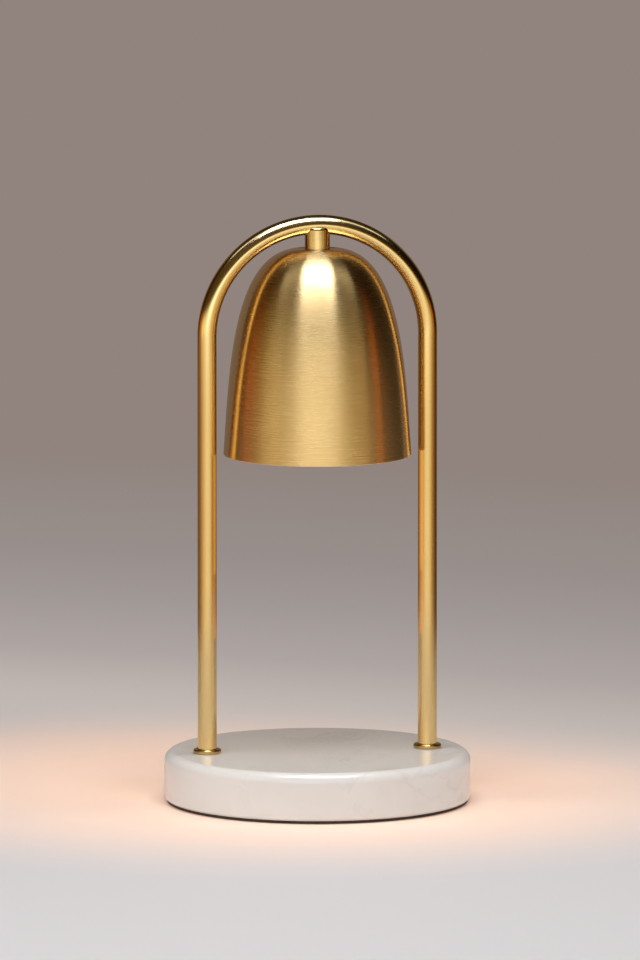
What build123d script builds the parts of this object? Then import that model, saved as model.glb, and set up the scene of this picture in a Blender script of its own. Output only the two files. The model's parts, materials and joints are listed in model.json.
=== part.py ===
from build123d import *

import os
from math import acos, cos, degrees, radians, sin, tan

# Candle warmer lamp: a brass tube bent into an arch stands on a round marble base and carries a
# spun bell shade. A GU10 lamp in the shade points down at the candle that stands on the base.
# Millimetres, +Z up. The origin is the centre of the pad's underside, the arch stands in the
# XZ plane, -Y is the front and the cord inlet is at +Y.

# ---------------------------------------------------------------- driving dimensions

# base
base_dia = 160.0            # marble disc
marble_h = 24.7
base_edge_r = 5.0           # rounding of the marble's upper edge
base_arris = 1.0            # chamfer round the marble's underside
pad_dia = 157.0             # foam pad the lamp stands on
pad_t = 1.5

# arch
overall_h = 308.0           # table to the top of the crown
tube_dia = 10.0
tube_wall = 1.0
leg_inset = 21.85           # base edge to the centre of a leg
socket_depth = 4.0          # how far a leg stands in the marble
collar_dia = 14.7           # ring round the foot of a leg
collar_h = 2.4              # above the marble
collar_edge_r = 1.1
collar_recess = 0.4         # how deep its seat is cut in the marble
crown_hole_dia = 7.0        # the lead leaves the tube here

# leg fixings under the marble
leg_thread_bore = 5.0       # hollow threaded end brazed in the leg
leg_thread_hold = 12.0      # its length inside the tube
leg_washer_dia = 16.0
leg_washer_t = 1.5
leg_nut_af = 13.0           # across flats
leg_nut_h = 3.0
thread_stickout = 0.8       # thread showing past a nut

# wiring channel in the underside, and its cover
channel_w = 24.0
channel_depth = 15.0
cover_t = 1.2
cover_side_ledge = 7.0      # stone the cover rests on, along the channel
cover_end_ledge = 5.0       # and at its ends
cover_screw_pitch = 70.0    # along the channel
insert_dia = 4.6            # brass inserts in the stone
insert_len = 7.0
cover_screw_dia = 2.9
cover_screw_len = 6.5
sink_head_ratio = 1.65      # countersunk head to its shank
sink_half_angle = 41.0

# cord inlet at the rear
inlet_z = 11.0
bush_dia = 9.0
bush_bore = 6.4
bush_len = 14.0             # behind its flange
bush_flange_dia = 12.6
bush_flange_t = 1.8
inlet_recess = 2.5          # how deep the flange's seat is cut

# terminal block on the cover
block_x = -28.0             # centre of the block
block_len = 15.0
block_w = 15.0
block_h = 9.5
way_pitch = 8.0
way_dia = 4.2               # brass sleeve
way_bore = 2.6
way_axis_h = 2.7            # above the cover
way_screw_dia = 2.4
way_screw_inset = 4.0       # from the end of the block
block_screw_dia = 2.2
block_edge_r = 0.8

# cord clamp on the cover
clamp_w = 8.0
clamp_foot = 8.0
clamp_t = 1.8
clamp_mouth = 6.0           # width and height of the space for the cord
clamp_bend_r = 1.2
clamp_screw_dia = 3.0

# stem between arch and shade
stem_dia = 13.2
stem_len = 8.0              # shade top to the underside of the tube
saddle_rise = 4.0           # how far the stem wraps up round the tube
saddle_edge_r = 1.6
stem_thread_dia = 10.0      # hollow threaded rod
stem_thread_bore = 7.0
stem_thread_hold = 6.0      # its length inside the stem

# shade
shade_h = 107.5
shade_wall = 1.0
shade_gap = 4.15            # rim to the inside of a leg
shade_flat_r = 9.6          # flat middle of the shade's top
skirt_flare = 0.073         # outward lean of the skirt at the rim
bell_crown_share = 0.916    # how far the crown reaches out, in rim radii
bell_skirt_share = 0.39     # how far the skirt reaches up, in shade heights
rim_round = 0.35

# stack that clamps the shade and the lampholder's bracket
seat_washer_dia = 18.0
seat_washer_t = 1.0
bracket_t = 1.2
bracket_w = 13.0
bracket_half_top = 11.0     # axis to the middle of an upright
bracket_drop = 10.0         # top of the bracket to the lampholder
bracket_bend_r = 1.5
lock_washer_dia = 17.0
lock_washer_t = 0.8
stem_nut_af = 14.0
stem_nut_h = 3.5

# GU10 lampholder
holder_len = 38.0
holder_w = 19.0
holder_body_h = 13.0
faceplate_t = 4.0
holder_round = 1.0
holder_screw_pitch = 29.0
holder_screw_dia = 2.9
screw_head_dia = 5.4
screw_head_h = 1.9
lead_hole_depth = 5.0
contact_t = 0.4
contact_w = 2.4
contact_rise = 3.3          # a pin's head to the roof of its well, where the contact hangs

# GU10 lamp
lamp_len = 46.0             # seat to front glass
pin_pitch = 10.0
pin_neck_dia = 3.0
pin_head_dia = 5.0
pin_head_h = 2.6
pin_root = 4.0              # pin inside the lamp's base
twist = 40.0                # degrees from locked to free
lamp_neck_dia = 20.8        # at the seat
lamp_waist_dia = 24.4       # where base and reflector meet
lamp_base_h = 15.0
lamp_rim_dia = 50.0
lamp_rim_h = 4.0
glass_wall = 1.5
front_glass_t = 2.2
bowl_lean = 0.18            # how far the bowl leans in above its rim
throat_dia = 18.2           # reflector's neck inside the base
throat_h = 8.0
capsule_dia = 9.2
capsule_len = 20.0
capsule_foot_dia = 12.8

# lead inside the lamp
lead_dia = 3.0
lead_bend_r = 6.0           # where it turns up into the leg
lead_crown_r = 8.0          # where it turns down into the stem
core_dia = 1.3
core_root = 4.0             # core drawn inside the sheath
core_spread_len = 6.0       # over which the cores part, from the sheath's end
core_run_in = 2.0           # straight core before the block

# clearances
fit_gap = 0.05              # brazed, threaded and pressed joints, on the radius
slip_gap = 0.2              # a piece that passes freely through another, on the radius
seat_gap = 0.3              # between the lamp and its holder
slot_gap = 0.3              # beside a pin that turns, on the radius

# ---------------------------------------------------------------- derived places

base_r = base_dia / 2
base_top = pad_t + marble_h
tube_r = tube_dia / 2
tube_bore_r = tube_r - tube_wall
leg_x = base_r - leg_inset
leg_places = {"left": -leg_x, "right": leg_x}
leg_foot_z = base_top - socket_depth
spring_z = overall_h - tube_r - leg_x           # where the legs end and the arch begins
tube_underside = overall_h - tube_dia

channel_top = pad_t + channel_depth
cover_top = pad_t + cover_t
cover_len = 2 * leg_x + channel_w + 2 * cover_end_ledge
cover_w = channel_w + 2 * cover_side_ledge
leg_thread_r = tube_bore_r - fit_gap
leg_nut_top = channel_top - leg_washer_t
leg_thread_foot = leg_nut_top - leg_nut_h - thread_stickout
lead_z = cover_top + way_axis_h

shade_top = tube_underside - stem_len
shade_rim_z = shade_top - shade_h
shade_rim_r = leg_x - tube_r - shade_gap
stem_thread_r = stem_thread_dia / 2

bracket_top = shade_top - shade_wall - seat_washer_t
lock_washer_top = bracket_top - bracket_t
stem_nut_top = lock_washer_top - lock_washer_t
stem_thread_foot = stem_nut_top - stem_nut_h - thread_stickout
holder_top = bracket_top - bracket_drop
faceplate_top = holder_top - holder_body_h
holder_face = faceplate_top - faceplate_t

lamp_top = holder_face - seat_gap
lamp_front = lamp_top - lamp_len
lamp_waist_z = lamp_top - lamp_base_h
pin_circle_r = pin_pitch / 2
pin_head_z = faceplate_top + seat_gap
pin_well_depth = seat_gap + pin_head_h + contact_rise

# ---------------------------------------------------------------- shared shapes


def ring(name, outer_dia, bore_r, foot_z, height, x=0.0):
    """A flat ring: washer, sleeve or spacer."""
    with BuildPart() as piece:
        with BuildSketch(Plane.XY.offset(foot_z)):
            with Locations((x, 0)):
                Circle(outer_dia / 2)
                Circle(bore_r, mode=Mode.SUBTRACT)
        extrude(amount=height)
    piece.part.label = name
    return piece.part


def hex_nut(name, across_flats, bore_r, top_z, height, x=0.0):
    """A thin lamp nut, hanging from its upper face."""
    with BuildPart() as piece:
        with BuildSketch(Plane.XY.offset(top_z - height)):
            with Locations((x, 0)):
                RegularPolygon(radius=across_flats / 2, side_count=6, major_radius=False)
                Circle(bore_r, mode=Mode.SUBTRACT)
        extrude(amount=height)
    piece.part.label = name
    return piece.part


def pair(pitch):
    """Two places on the X axis, a pitch apart."""
    return [(-pitch / 2, 0), (pitch / 2, 0)]


def sunk_screws(name, plane, places, shank_dia, length):
    """Countersunk screws whose heads are flush with a plane and whose shanks run behind it."""
    head_r = shank_dia * sink_head_ratio / 2
    head_h = (head_r - shank_dia / 2) / tan(radians(sink_half_angle))
    top = (Align.CENTER, Align.CENTER, Align.MAX)
    with BuildPart() as piece:
        with Locations(plane):
            with Locations(*places):
                Cylinder(shank_dia / 2, length, align=top)
                Cone(shank_dia / 2, head_r, head_h, align=top)
    piece.part.label = name
    return piece.part


def pan_screws(name, plane, places, shank_dia, length):
    """Screws whose flat heads stand on a plane and whose shanks run behind it."""
    with BuildPart() as piece:
        with Locations(plane):
            with Locations(*places):
                Cylinder(shank_dia / 2, length, align=(Align.CENTER, Align.CENTER, Align.MAX))
                Cylinder(screw_head_dia / 2, screw_head_h,
                         align=(Align.CENTER, Align.CENTER, Align.MIN))
    piece.part.label = name
    return piece.part


def sink_hole(shank_dia):
    """The countersunk clearance hole of a sunk screw, at the current locations."""
    return CounterSinkHole(shank_dia / 2 + slip_gap, shank_dia * sink_head_ratio / 2 + slip_gap,
                           counter_sink_angle=2 * sink_half_angle)


def bell_side(rim_r, top_z):
    """The outline of a bell from the flat of its top to its rim, as radius and height.

    One curve leaves the flat level, turns over the shoulder and leans out towards the rim.
    """
    skirt = bell_skirt_share * (top_z - shade_rim_z)
    return Bezier(
        (shade_flat_r, top_z),
        (bell_crown_share * rim_r, top_z),
        (rim_r - skirt_flare * skirt, shade_rim_z + skirt),
        (rim_r, shade_rim_z),
    )


def reflector_section(inset):
    """Half section of the lamp's reflector bowl, drawn in by an inset from its outside."""
    waist_r = lamp_waist_dia / 2 - inset
    rim_r = lamp_rim_dia / 2 - inset
    bowl_foot_z = lamp_front + lamp_rim_h
    waist_z = lamp_waist_z - inset
    with BuildSketch() as section:
        with BuildLine():
            bowl = TangentArc((rim_r, bowl_foot_z), (waist_r, waist_z), tangent=(-bowl_lean, 1))
            Polyline(bowl @ 1, (0, waist_z), (0, lamp_front), (rim_r, lamp_front), bowl @ 0)
        make_face()
    return section.sketch


# ---------------------------------------------------------------- base

with BuildPart() as foot_pad:
    with BuildSketch():
        Circle(pad_dia / 2)
    extrude(amount=pad_t)
foot_pad.part.label = "foot_pad"

cover_screw_places = [
    (x, side * (channel_w + cover_side_ledge) / 2)
    for x, _ in pair(cover_screw_pitch)
    for side in (-1, 1)
]
inlet_plane = Plane(origin=(0, base_r, inlet_z), x_dir=(-1, 0, 0), z_dir=(0, 1, 0))

with BuildPart() as marble_base:
    with BuildSketch(Plane.XY.offset(pad_t)):
        Circle(base_r)
    extrude(amount=marble_h)
    fillet(marble_base.faces().sort_by(Axis.Z)[-1].edges(), radius=base_edge_r)
    chamfer(marble_base.faces().sort_by(Axis.Z)[0].edges(), length=base_arris)
    # wiring channel from leg to leg, with a rebate for its cover
    with BuildSketch(Plane.XY.offset(pad_t)):
        SlotCenterToCenter(2 * leg_x, channel_w)
    extrude(amount=channel_depth, mode=Mode.SUBTRACT)
    with BuildSketch(Plane.XY.offset(pad_t)):
        SlotOverall(cover_len + 2 * slip_gap, cover_w + 2 * slip_gap)
    extrude(amount=cover_t, mode=Mode.SUBTRACT)
    with BuildSketch(Plane.XY.offset(cover_top)):
        with Locations(*cover_screw_places):
            Circle(insert_dia / 2 + fit_gap)
    extrude(amount=insert_len, mode=Mode.SUBTRACT)
    # a socket for each leg, a hole for its threaded end and a shallow seat for its collar
    with Locations(*[(x, 0, base_top) for x in leg_places.values()]):
        CounterBoreHole(leg_thread_r + slip_gap, tube_r + slip_gap, socket_depth)
        Hole(collar_dia / 2 + slip_gap, depth=collar_recess)
    # cord inlet, with a seat for the bush's flange
    with Locations(inlet_plane):
        CounterBoreHole(bush_dia / 2 + fit_gap, bush_flange_dia / 2 + slip_gap, inlet_recess,
                        depth=base_r)
marble_base.part.label = "marble_base"

with BuildPart() as cord_bush:
    with BuildSketch(inlet_plane.offset(-inlet_recess)):
        Circle(bush_flange_dia / 2)
        Circle(bush_bore / 2, mode=Mode.SUBTRACT)
    extrude(amount=bush_flange_t)
    with BuildSketch(inlet_plane.offset(-inlet_recess)):
        Circle(bush_dia / 2)
        Circle(bush_bore / 2, mode=Mode.SUBTRACT)
    extrude(amount=-bush_len)
cord_bush.part.label = "cord_bush"

# ---------------------------------------------------------------- wiring cover and what it carries

cover_underside = Plane(origin=(0, 0, pad_t), x_dir=(1, 0, 0), z_dir=(0, 0, -1))
clamp_foot_x = clamp_mouth / 2 + clamp_t + clamp_foot / 2
clamp_places = pair(2 * clamp_foot_x)
block_end = block_x - block_len / 2             # the face where the lead enters
block_low_h = 2 * way_axis_h                    # between the towers, with the ways at mid height
way_screw_places = [
    (block_x + side * (block_len / 2 - way_screw_inset), y)
    for side in (-1, 1)
    for y in (-way_pitch / 2, way_pitch / 2)
]

with BuildPart() as wiring_cover:
    with BuildSketch(Plane.XY.offset(pad_t)):
        SlotOverall(cover_len, cover_w)
    extrude(amount=cover_t)
    with Locations(cover_underside):
        with Locations(*cover_screw_places):
            sink_hole(cover_screw_dia)
        with Locations((block_x, 0)):
            sink_hole(block_screw_dia)
        with Locations(*clamp_places):
            Hole(clamp_screw_dia / 2 + fit_gap)
wiring_cover.part.label = "wiring_cover"

with BuildPart() as cover_inserts:
    with BuildSketch(Plane.XY.offset(cover_top)):
        with Locations(*cover_screw_places):
            Circle(insert_dia / 2)
            Circle(cover_screw_dia / 2 + fit_gap, mode=Mode.SUBTRACT)
    extrude(amount=insert_len)
cover_inserts.part.label = "cover_inserts"

cover_screws = sunk_screws("cover_screws", cover_underside, cover_screw_places,
                           cover_screw_dia, cover_screw_len)

with BuildPart() as terminal_block:
    # a low body with a tower over each way
    with BuildSketch(Plane.YZ.offset(block_end)) as block_section:
        with Locations((0, cover_top)):
            Rectangle(block_w, block_low_h, align=(Align.CENTER, Align.MIN))
        with Locations((-way_pitch / 2, cover_top), (way_pitch / 2, cover_top)):
            Rectangle(block_w - way_pitch, block_h, align=(Align.CENTER, Align.MIN))
        fillet(block_section.vertices().group_by(Axis.Y)[-1], radius=block_edge_r)
        with Locations((-way_pitch / 2, lead_z), (way_pitch / 2, lead_z)):
            Circle(way_dia / 2 + fit_gap, mode=Mode.SUBTRACT)
    extrude(amount=block_len)
    with BuildSketch(Plane.XY.offset(lead_z)):
        with Locations(*way_screw_places):
            Circle(way_screw_dia / 2 + slip_gap)
    extrude(amount=block_h, mode=Mode.SUBTRACT)
    with BuildSketch(Plane.XY.offset(cover_top)):
        with Locations((block_x, 0)):
            Circle(block_screw_dia / 2 + fit_gap)
    extrude(amount=block_low_h, mode=Mode.SUBTRACT)
terminal_block.part.label = "terminal_block"

with BuildPart() as terminal_ways:
    with BuildSketch(Plane.YZ.offset(block_end)):
        with Locations((-way_pitch / 2, lead_z), (way_pitch / 2, lead_z)):
            Circle(way_dia / 2)
            Circle(way_bore / 2, mode=Mode.SUBTRACT)
    extrude(amount=block_len)
    with BuildSketch(Plane.XY.offset(lead_z)):
        with Locations(*way_screw_places):
            Circle(way_screw_dia / 2 + fit_gap)
    extrude(amount=way_dia, mode=Mode.SUBTRACT)
terminal_ways.part.label = "terminal_ways"

with BuildPart() as terminal_screws:
    with BuildSketch(Plane.XY.offset(lead_z + core_dia / 2 + fit_gap)):
        with Locations(*way_screw_places):
            Circle(way_screw_dia / 2)
    extrude(amount=way_dia)
terminal_screws.part.label = "terminal_screws"

block_screw = sunk_screws("block_screw", cover_underside, [(block_x, 0)],
                          block_screw_dia, cover_t + way_axis_h)

with BuildPart() as cord_clamp:
    # a strip bent into a bridge over the cord
    bridge_x = clamp_mouth / 2 + clamp_t / 2
    foot_z = cover_top + clamp_t / 2
    bridge_z = foot_z + clamp_mouth
    with BuildSketch(Plane.XZ):
        with BuildLine():
            FilletPolyline(
                (-bridge_x - clamp_foot, foot_z),
                (-bridge_x, foot_z),
                (-bridge_x, bridge_z),
                (bridge_x, bridge_z),
                (bridge_x, foot_z),
                (bridge_x + clamp_foot, foot_z),
                radius=clamp_bend_r,
            )
        trace(line_width=clamp_t)
    extrude(amount=clamp_w / 2, both=True)
    with Locations(Plane.XY.offset(cover_top + clamp_t)):
        with Locations(*clamp_places):
            Hole(clamp_screw_dia / 2 + slip_gap, depth=2 * clamp_t)
cord_clamp.part.label = "cord_clamp"

clamp_screws = pan_screws("clamp_screws", Plane.XY.offset(cover_top + clamp_t), clamp_places,
                          clamp_screw_dia, clamp_t + cover_t)

# ---------------------------------------------------------------- arch and its fixings

with BuildPart() as arch_tube:
    with BuildLine(Plane.XZ):
        left_leg = Line((-leg_x, leg_foot_z), (-leg_x, spring_z))
        crown_arc = CenterArc((0, spring_z), leg_x, 180, -180)
        Line(crown_arc @ 1, (leg_x, leg_foot_z))
    with BuildSketch(Plane.XY.offset(leg_foot_z)):
        with Locations((-leg_x, 0)):
            Circle(tube_r)
            Circle(tube_bore_r, mode=Mode.SUBTRACT)
    sweep()
    with BuildSketch(Plane.XY.offset(tube_underside - tube_wall)):
        Circle(crown_hole_dia / 2)
    extrude(amount=tube_wall + tube_r, mode=Mode.SUBTRACT)
arch_tube.part.label = "arch_tube"

leg_fixings = []
for side, x in leg_places.items():
    with BuildPart() as collar:
        with BuildSketch(Plane.XY.offset(base_top - collar_recess)):
            with Locations((x, 0)):
                Circle(collar_dia / 2)
                Circle(tube_r + slip_gap, mode=Mode.SUBTRACT)
        extrude(amount=collar_recess + collar_h)
        rims = collar.edges().filter_by(GeomType.CIRCLE).group_by(SortBy.RADIUS)[-1]
        fillet(rims, radius=collar_edge_r)
    collar.part.label = f"{side}_collar"
    leg_fixings += [
        collar.part,
        ring(f"{side}_leg_thread", 2 * leg_thread_r, leg_thread_bore / 2, leg_thread_foot,
             leg_foot_z + leg_thread_hold - leg_thread_foot, x),
        ring(f"{side}_leg_washer", leg_washer_dia, leg_thread_r + slip_gap,
             leg_nut_top, leg_washer_t, x),
        hex_nut(f"{side}_leg_nut", leg_nut_af, leg_thread_r + fit_gap,
                leg_nut_top, leg_nut_h, x),
    ]

# ---------------------------------------------------------------- stem

with BuildPart() as stem:
    with BuildSketch(Plane.XY.offset(shade_top)):
        Circle(stem_dia / 2)
    extrude(amount=stem_len + saddle_rise)
    fillet(stem.faces().sort_by(Axis.Z)[-1].edges(), radius=saddle_edge_r)
    # coped to sit round the tube
    with Locations((0, 0, spring_z)):
        Torus(leg_x, tube_r + fit_gap, rotation=(90, 0, 0), mode=Mode.SUBTRACT)
    with BuildSketch(Plane.XY.offset(shade_top)):
        Circle(crown_hole_dia / 2)
    extrude(amount=stem_len + saddle_rise, mode=Mode.SUBTRACT)
    with BuildSketch(Plane.XY.offset(shade_top)):
        Circle(stem_thread_r + fit_gap)
    extrude(amount=stem_thread_hold, mode=Mode.SUBTRACT)
stem.part.label = "stem"

stem_thread = ring("stem_thread", stem_thread_dia, stem_thread_bore / 2, stem_thread_foot,
                   shade_top + stem_thread_hold - stem_thread_foot)

# ---------------------------------------------------------------- shade and its clamping stack

with BuildPart() as shade:
    with BuildSketch(Plane.XZ) as shade_section:
        with BuildLine():
            outside = bell_side(shade_rim_r, shade_top)
            inside = bell_side(shade_rim_r - shade_wall, shade_top - shade_wall)
            hole_r = stem_thread_r + slip_gap
            Polyline(outside @ 0, (hole_r, shade_top), (hole_r, shade_top - shade_wall), inside @ 0)
            Line(outside @ 1, inside @ 1)
        make_face()
        fillet(shade_section.vertices().group_by(Axis.Y)[0], radius=rim_round)
    revolve(axis=Axis.Z)
shade.part.label = "shade"

seat_washer = ring("seat_washer", seat_washer_dia, stem_thread_r + slip_gap, bracket_top,
                   seat_washer_t)

with BuildPart() as holder_bracket:
    # a strip bent into a top hat: the flat top hangs from the stem, the feet carry the holder
    top_z = bracket_top - bracket_t / 2
    foot_z = holder_top + bracket_t / 2
    foot_end = holder_len / 2
    with BuildSketch(Plane.XZ):
        with BuildLine():
            FilletPolyline(
                (-foot_end, foot_z),
                (-bracket_half_top, foot_z),
                (-bracket_half_top, top_z),
                (bracket_half_top, top_z),
                (bracket_half_top, foot_z),
                (foot_end, foot_z),
                radius=bracket_bend_r,
            )
        trace(line_width=bracket_t)
    extrude(amount=bracket_w / 2, both=True)
    with Locations((0, 0, bracket_top)):
        Hole(stem_thread_r + slip_gap, depth=2 * bracket_t)
    with Locations((0, 0, holder_top + bracket_t)):
        with Locations(*pair(holder_screw_pitch)):
            Hole(holder_screw_dia / 2 + fit_gap, depth=2 * bracket_t)
holder_bracket.part.label = "holder_bracket"

lock_washer = ring("lock_washer", lock_washer_dia, stem_thread_r + slip_gap, stem_nut_top,
                   lock_washer_t)
stem_nut = hex_nut("stem_nut", stem_nut_af, stem_thread_r + fit_gap, stem_nut_top, stem_nut_h)

# ---------------------------------------------------------------- lampholder

holder_screw_places = pair(holder_screw_pitch)
holder_underside = Plane(origin=(0, 0, holder_face), x_dir=(1, 0, 0), z_dir=(0, 0, -1))
pin_starts = (-twist, 180 - twist)              # where each pin enters

with BuildPart() as holder_body:
    with BuildSketch(Plane.XY.offset(faceplate_top)):
        SlotOverall(holder_len, holder_w)
        with Locations(*holder_screw_places):
            Circle(holder_screw_dia / 2 + slip_gap, mode=Mode.SUBTRACT)
    extrude(amount=holder_body_h)
    outer = holder_body.faces().sort_by(Axis.Z)[-1].outer_wire().edges()
    fillet(outer, radius=holder_round)
    # a well for each pin's head, as long as the twist
    with BuildSketch(Plane.XY.offset(faceplate_top)):
        for start in pin_starts:
            SlotArc(CenterArc((0, 0), pin_circle_r, start, twist), pin_head_dia + 2 * slot_gap)
    extrude(amount=pin_well_depth, mode=Mode.SUBTRACT)
    with Locations((0, 0, holder_top)):
        Hole(lead_dia / 2 + slip_gap, depth=lead_hole_depth)
holder_body.part.label = "holder_body"

with BuildPart() as holder_faceplate:
    with BuildSketch(Plane.XY.offset(holder_face)):
        SlotOverall(holder_len, holder_w)
        # keyholes: a hole that lets the pin's head in, and a slot that holds it
        for start in pin_starts:
            keyhole = CenterArc((0, 0), pin_circle_r, start, twist, mode=Mode.PRIVATE)
            SlotArc(keyhole, pin_neck_dia + 2 * slot_gap, mode=Mode.SUBTRACT)
            with Locations(keyhole @ 0):
                Circle(pin_head_dia / 2 + slot_gap, mode=Mode.SUBTRACT)
    extrude(amount=faceplate_t)
    with Locations(holder_underside):
        with Locations(*holder_screw_places):
            CounterBoreHole(holder_screw_dia / 2 + slip_gap, screw_head_dia / 2 + slip_gap,
                            screw_head_h + slot_gap, depth=faceplate_t)
holder_faceplate.part.label = "holder_faceplate"

holder_screws = pan_screws("holder_screws", holder_underside.offset(-screw_head_h - slot_gap),
                           holder_screw_places, holder_screw_dia,
                           holder_top + bracket_t + thread_stickout
                           - holder_face - screw_head_h - slot_gap)

with BuildPart() as contact_springs:
    # a leaf over each pin's head, hung from the roof of the well
    well_top = faceplate_top + pin_well_depth
    leaf_z = pin_head_z + pin_head_h + seat_gap + contact_t / 2
    leaf_root = pin_circle_r + pin_head_dia / 2 - contact_t
    with BuildSketch(Plane.XZ):
        with BuildLine():
            Polyline((pin_circle_r - pin_neck_dia / 2, leaf_z), (leaf_root, leaf_z),
                     (leaf_root, well_top))
        trace(line_width=contact_t)
    extrude(amount=contact_w / 2, both=True)
    mirror(about=Plane.YZ)
contact_springs.part.label = "contact_springs"

# ---------------------------------------------------------------- lamp

with BuildPart() as lamp_base:
    with BuildSketch(Plane.XY.offset(lamp_waist_z)):
        Circle(lamp_waist_dia / 2)
    with BuildSketch(Plane.XY.offset(lamp_top)):
        Circle(lamp_neck_dia / 2)
    loft()
    fillet(lamp_base.faces().sort_by(Axis.Z)[-1].edges(), radius=holder_round)
    with BuildSketch(Plane.XY.offset(lamp_waist_z)):
        Circle(throat_dia / 2 + fit_gap)
    extrude(amount=throat_h, mode=Mode.SUBTRACT)
    with Locations((-pin_circle_r, 0, lamp_top), (pin_circle_r, 0, lamp_top)):
        Hole(pin_neck_dia / 2 + fit_gap, depth=pin_root)
lamp_base.part.label = "lamp_base"

with BuildPart() as lamp_pins:
    with Locations((-pin_circle_r, 0, pin_head_z), (pin_circle_r, 0, pin_head_z)):
        Cylinder(pin_neck_dia / 2, pin_head_z - lamp_top + pin_root,
                 align=(Align.CENTER, Align.CENTER, Align.MAX))
        Cylinder(pin_head_dia / 2, pin_head_h, align=(Align.CENTER, Align.CENTER, Align.MIN))
lamp_pins.part.label = "lamp_pins"

bowl_outside = reflector_section(0)
bowl_inside = reflector_section(glass_wall)

with BuildPart() as lamp_reflector:
    with BuildSketch(Plane.XZ):
        add(bowl_outside)
        add(bowl_inside, mode=Mode.SUBTRACT)
    revolve(axis=Axis.Z)
    with BuildSketch(Plane.XY.offset(lamp_waist_z - glass_wall)):
        Circle(throat_dia / 2)
    extrude(amount=glass_wall + throat_h - fit_gap)
    with BuildSketch(Plane.XY.offset(lamp_front)):
        Circle(capsule_foot_dia / 2 + fit_gap)
    extrude(amount=lamp_len, mode=Mode.SUBTRACT)
lamp_reflector.part.label = "lamp_reflector"

with BuildPart() as lamp_front_glass:
    with BuildSketch(Plane.XY.offset(lamp_front)):
        Circle(lamp_rim_dia / 2 - glass_wall - fit_gap)
    extrude(amount=front_glass_t)
    fillet(lamp_front_glass.faces().sort_by(Axis.Z)[0].edges(), radius=holder_round)
lamp_front_glass.part.label = "lamp_front_glass"

with BuildPart() as lamp_capsule:
    # a quartz bulb on the cemented foot that fills the reflector's neck
    foot_top = lamp_waist_z + throat_h - fit_gap
    bulb_r = capsule_dia / 2
    with BuildSketch(Plane.XZ):
        with BuildLine():
            tip = CenterArc((0, lamp_waist_z - capsule_len + bulb_r), bulb_r, 270, 90)
            Polyline(
                tip @ 1,
                (bulb_r, lamp_waist_z),
                (capsule_foot_dia / 2, lamp_waist_z),
                (capsule_foot_dia / 2, foot_top),
                (0, foot_top),
                tip @ 0,
            )
        make_face()
    revolve(axis=Axis.Z)
lamp_capsule.part.label = "lamp_capsule"

# ---------------------------------------------------------------- lead from the block to the holder

# The turn into the stem touches the arch's centreline from inside, this far round from +X.
crown_turn = degrees(acos(-lead_crown_r / (leg_x - lead_crown_r)))
core_reach = block_end + way_screw_inset + way_screw_dia / 2
sheath_end = block_end - core_run_in - core_spread_len
core_apart = core_dia / 2 + fit_gap

with BuildPart() as lamp_lead:
    with BuildLine(Plane.XZ) as lead_route:
        along = Line((sheath_end, lead_z), (lead_bend_r - leg_x, lead_z))
        turn_up = JernArc(along @ 1, (-1, 0), lead_bend_r, -90)
        rise = Line(turn_up @ 1, (-leg_x, spring_z))
        over = JernArc(rise @ 1, (0, 1), leg_x, crown_turn - 180)
        turn_down = JernArc(over @ 1, over % 1, lead_crown_r, -crown_turn)
        Line(turn_down @ 1, (0, holder_top - lead_hole_depth))
    with BuildSketch(Plane(origin=along @ 0, z_dir=along % 0)):
        Circle(lead_dia / 2)
    sweep()
    # its two cores part and run into the ways of the block
    for side in (-1, 1):
        with BuildLine() as core_route:
            FilletPolyline(
                (sheath_end - core_root, side * core_apart, lead_z),
                (sheath_end, side * core_apart, lead_z),
                (block_end - core_run_in, side * way_pitch / 2, lead_z),
                (core_reach, side * way_pitch / 2, lead_z),
                radius=core_dia,
            )
        with BuildSketch(Plane(origin=core_route.line @ 0, z_dir=(1, 0, 0))):
            Circle(core_dia / 2)
        sweep(path=core_route.line)
lamp_lead.part.label = "lamp_lead"

# ---------------------------------------------------------------- one file for each piece

os.makedirs("parts", exist_ok=True)
pieces = [
    foot_pad.part, marble_base.part, cord_bush.part,
    wiring_cover.part, cover_inserts.part, cover_screws,
    terminal_block.part, terminal_ways.part, terminal_screws.part, block_screw,
    cord_clamp.part, clamp_screws,
    arch_tube.part, *leg_fixings,
    stem.part, stem_thread,
    shade.part, seat_washer, holder_bracket.part, lock_washer, stem_nut,
    holder_body.part, holder_faceplate.part, holder_screws, contact_springs.part,
    lamp_base.part, lamp_pins.part, lamp_reflector.part, lamp_front_glass.part,
    lamp_capsule.part, lamp_lead.part,
]
for piece in pieces:
    export_step(piece, os.path.join("parts", f"{piece.label}.step"))
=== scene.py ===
"""Looks of a candle warmer lamp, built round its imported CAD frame.

Metres, +Z up, -Y the front: the frame's own axes, with the origin under the middle of the base.
Each sub-assembly is a class that works out its surfaces with numpy and dresses them with a finish.
"""

import json
import logging
import math
from dataclasses import dataclass
from enum import Enum
from typing import Sequence, Union

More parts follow.
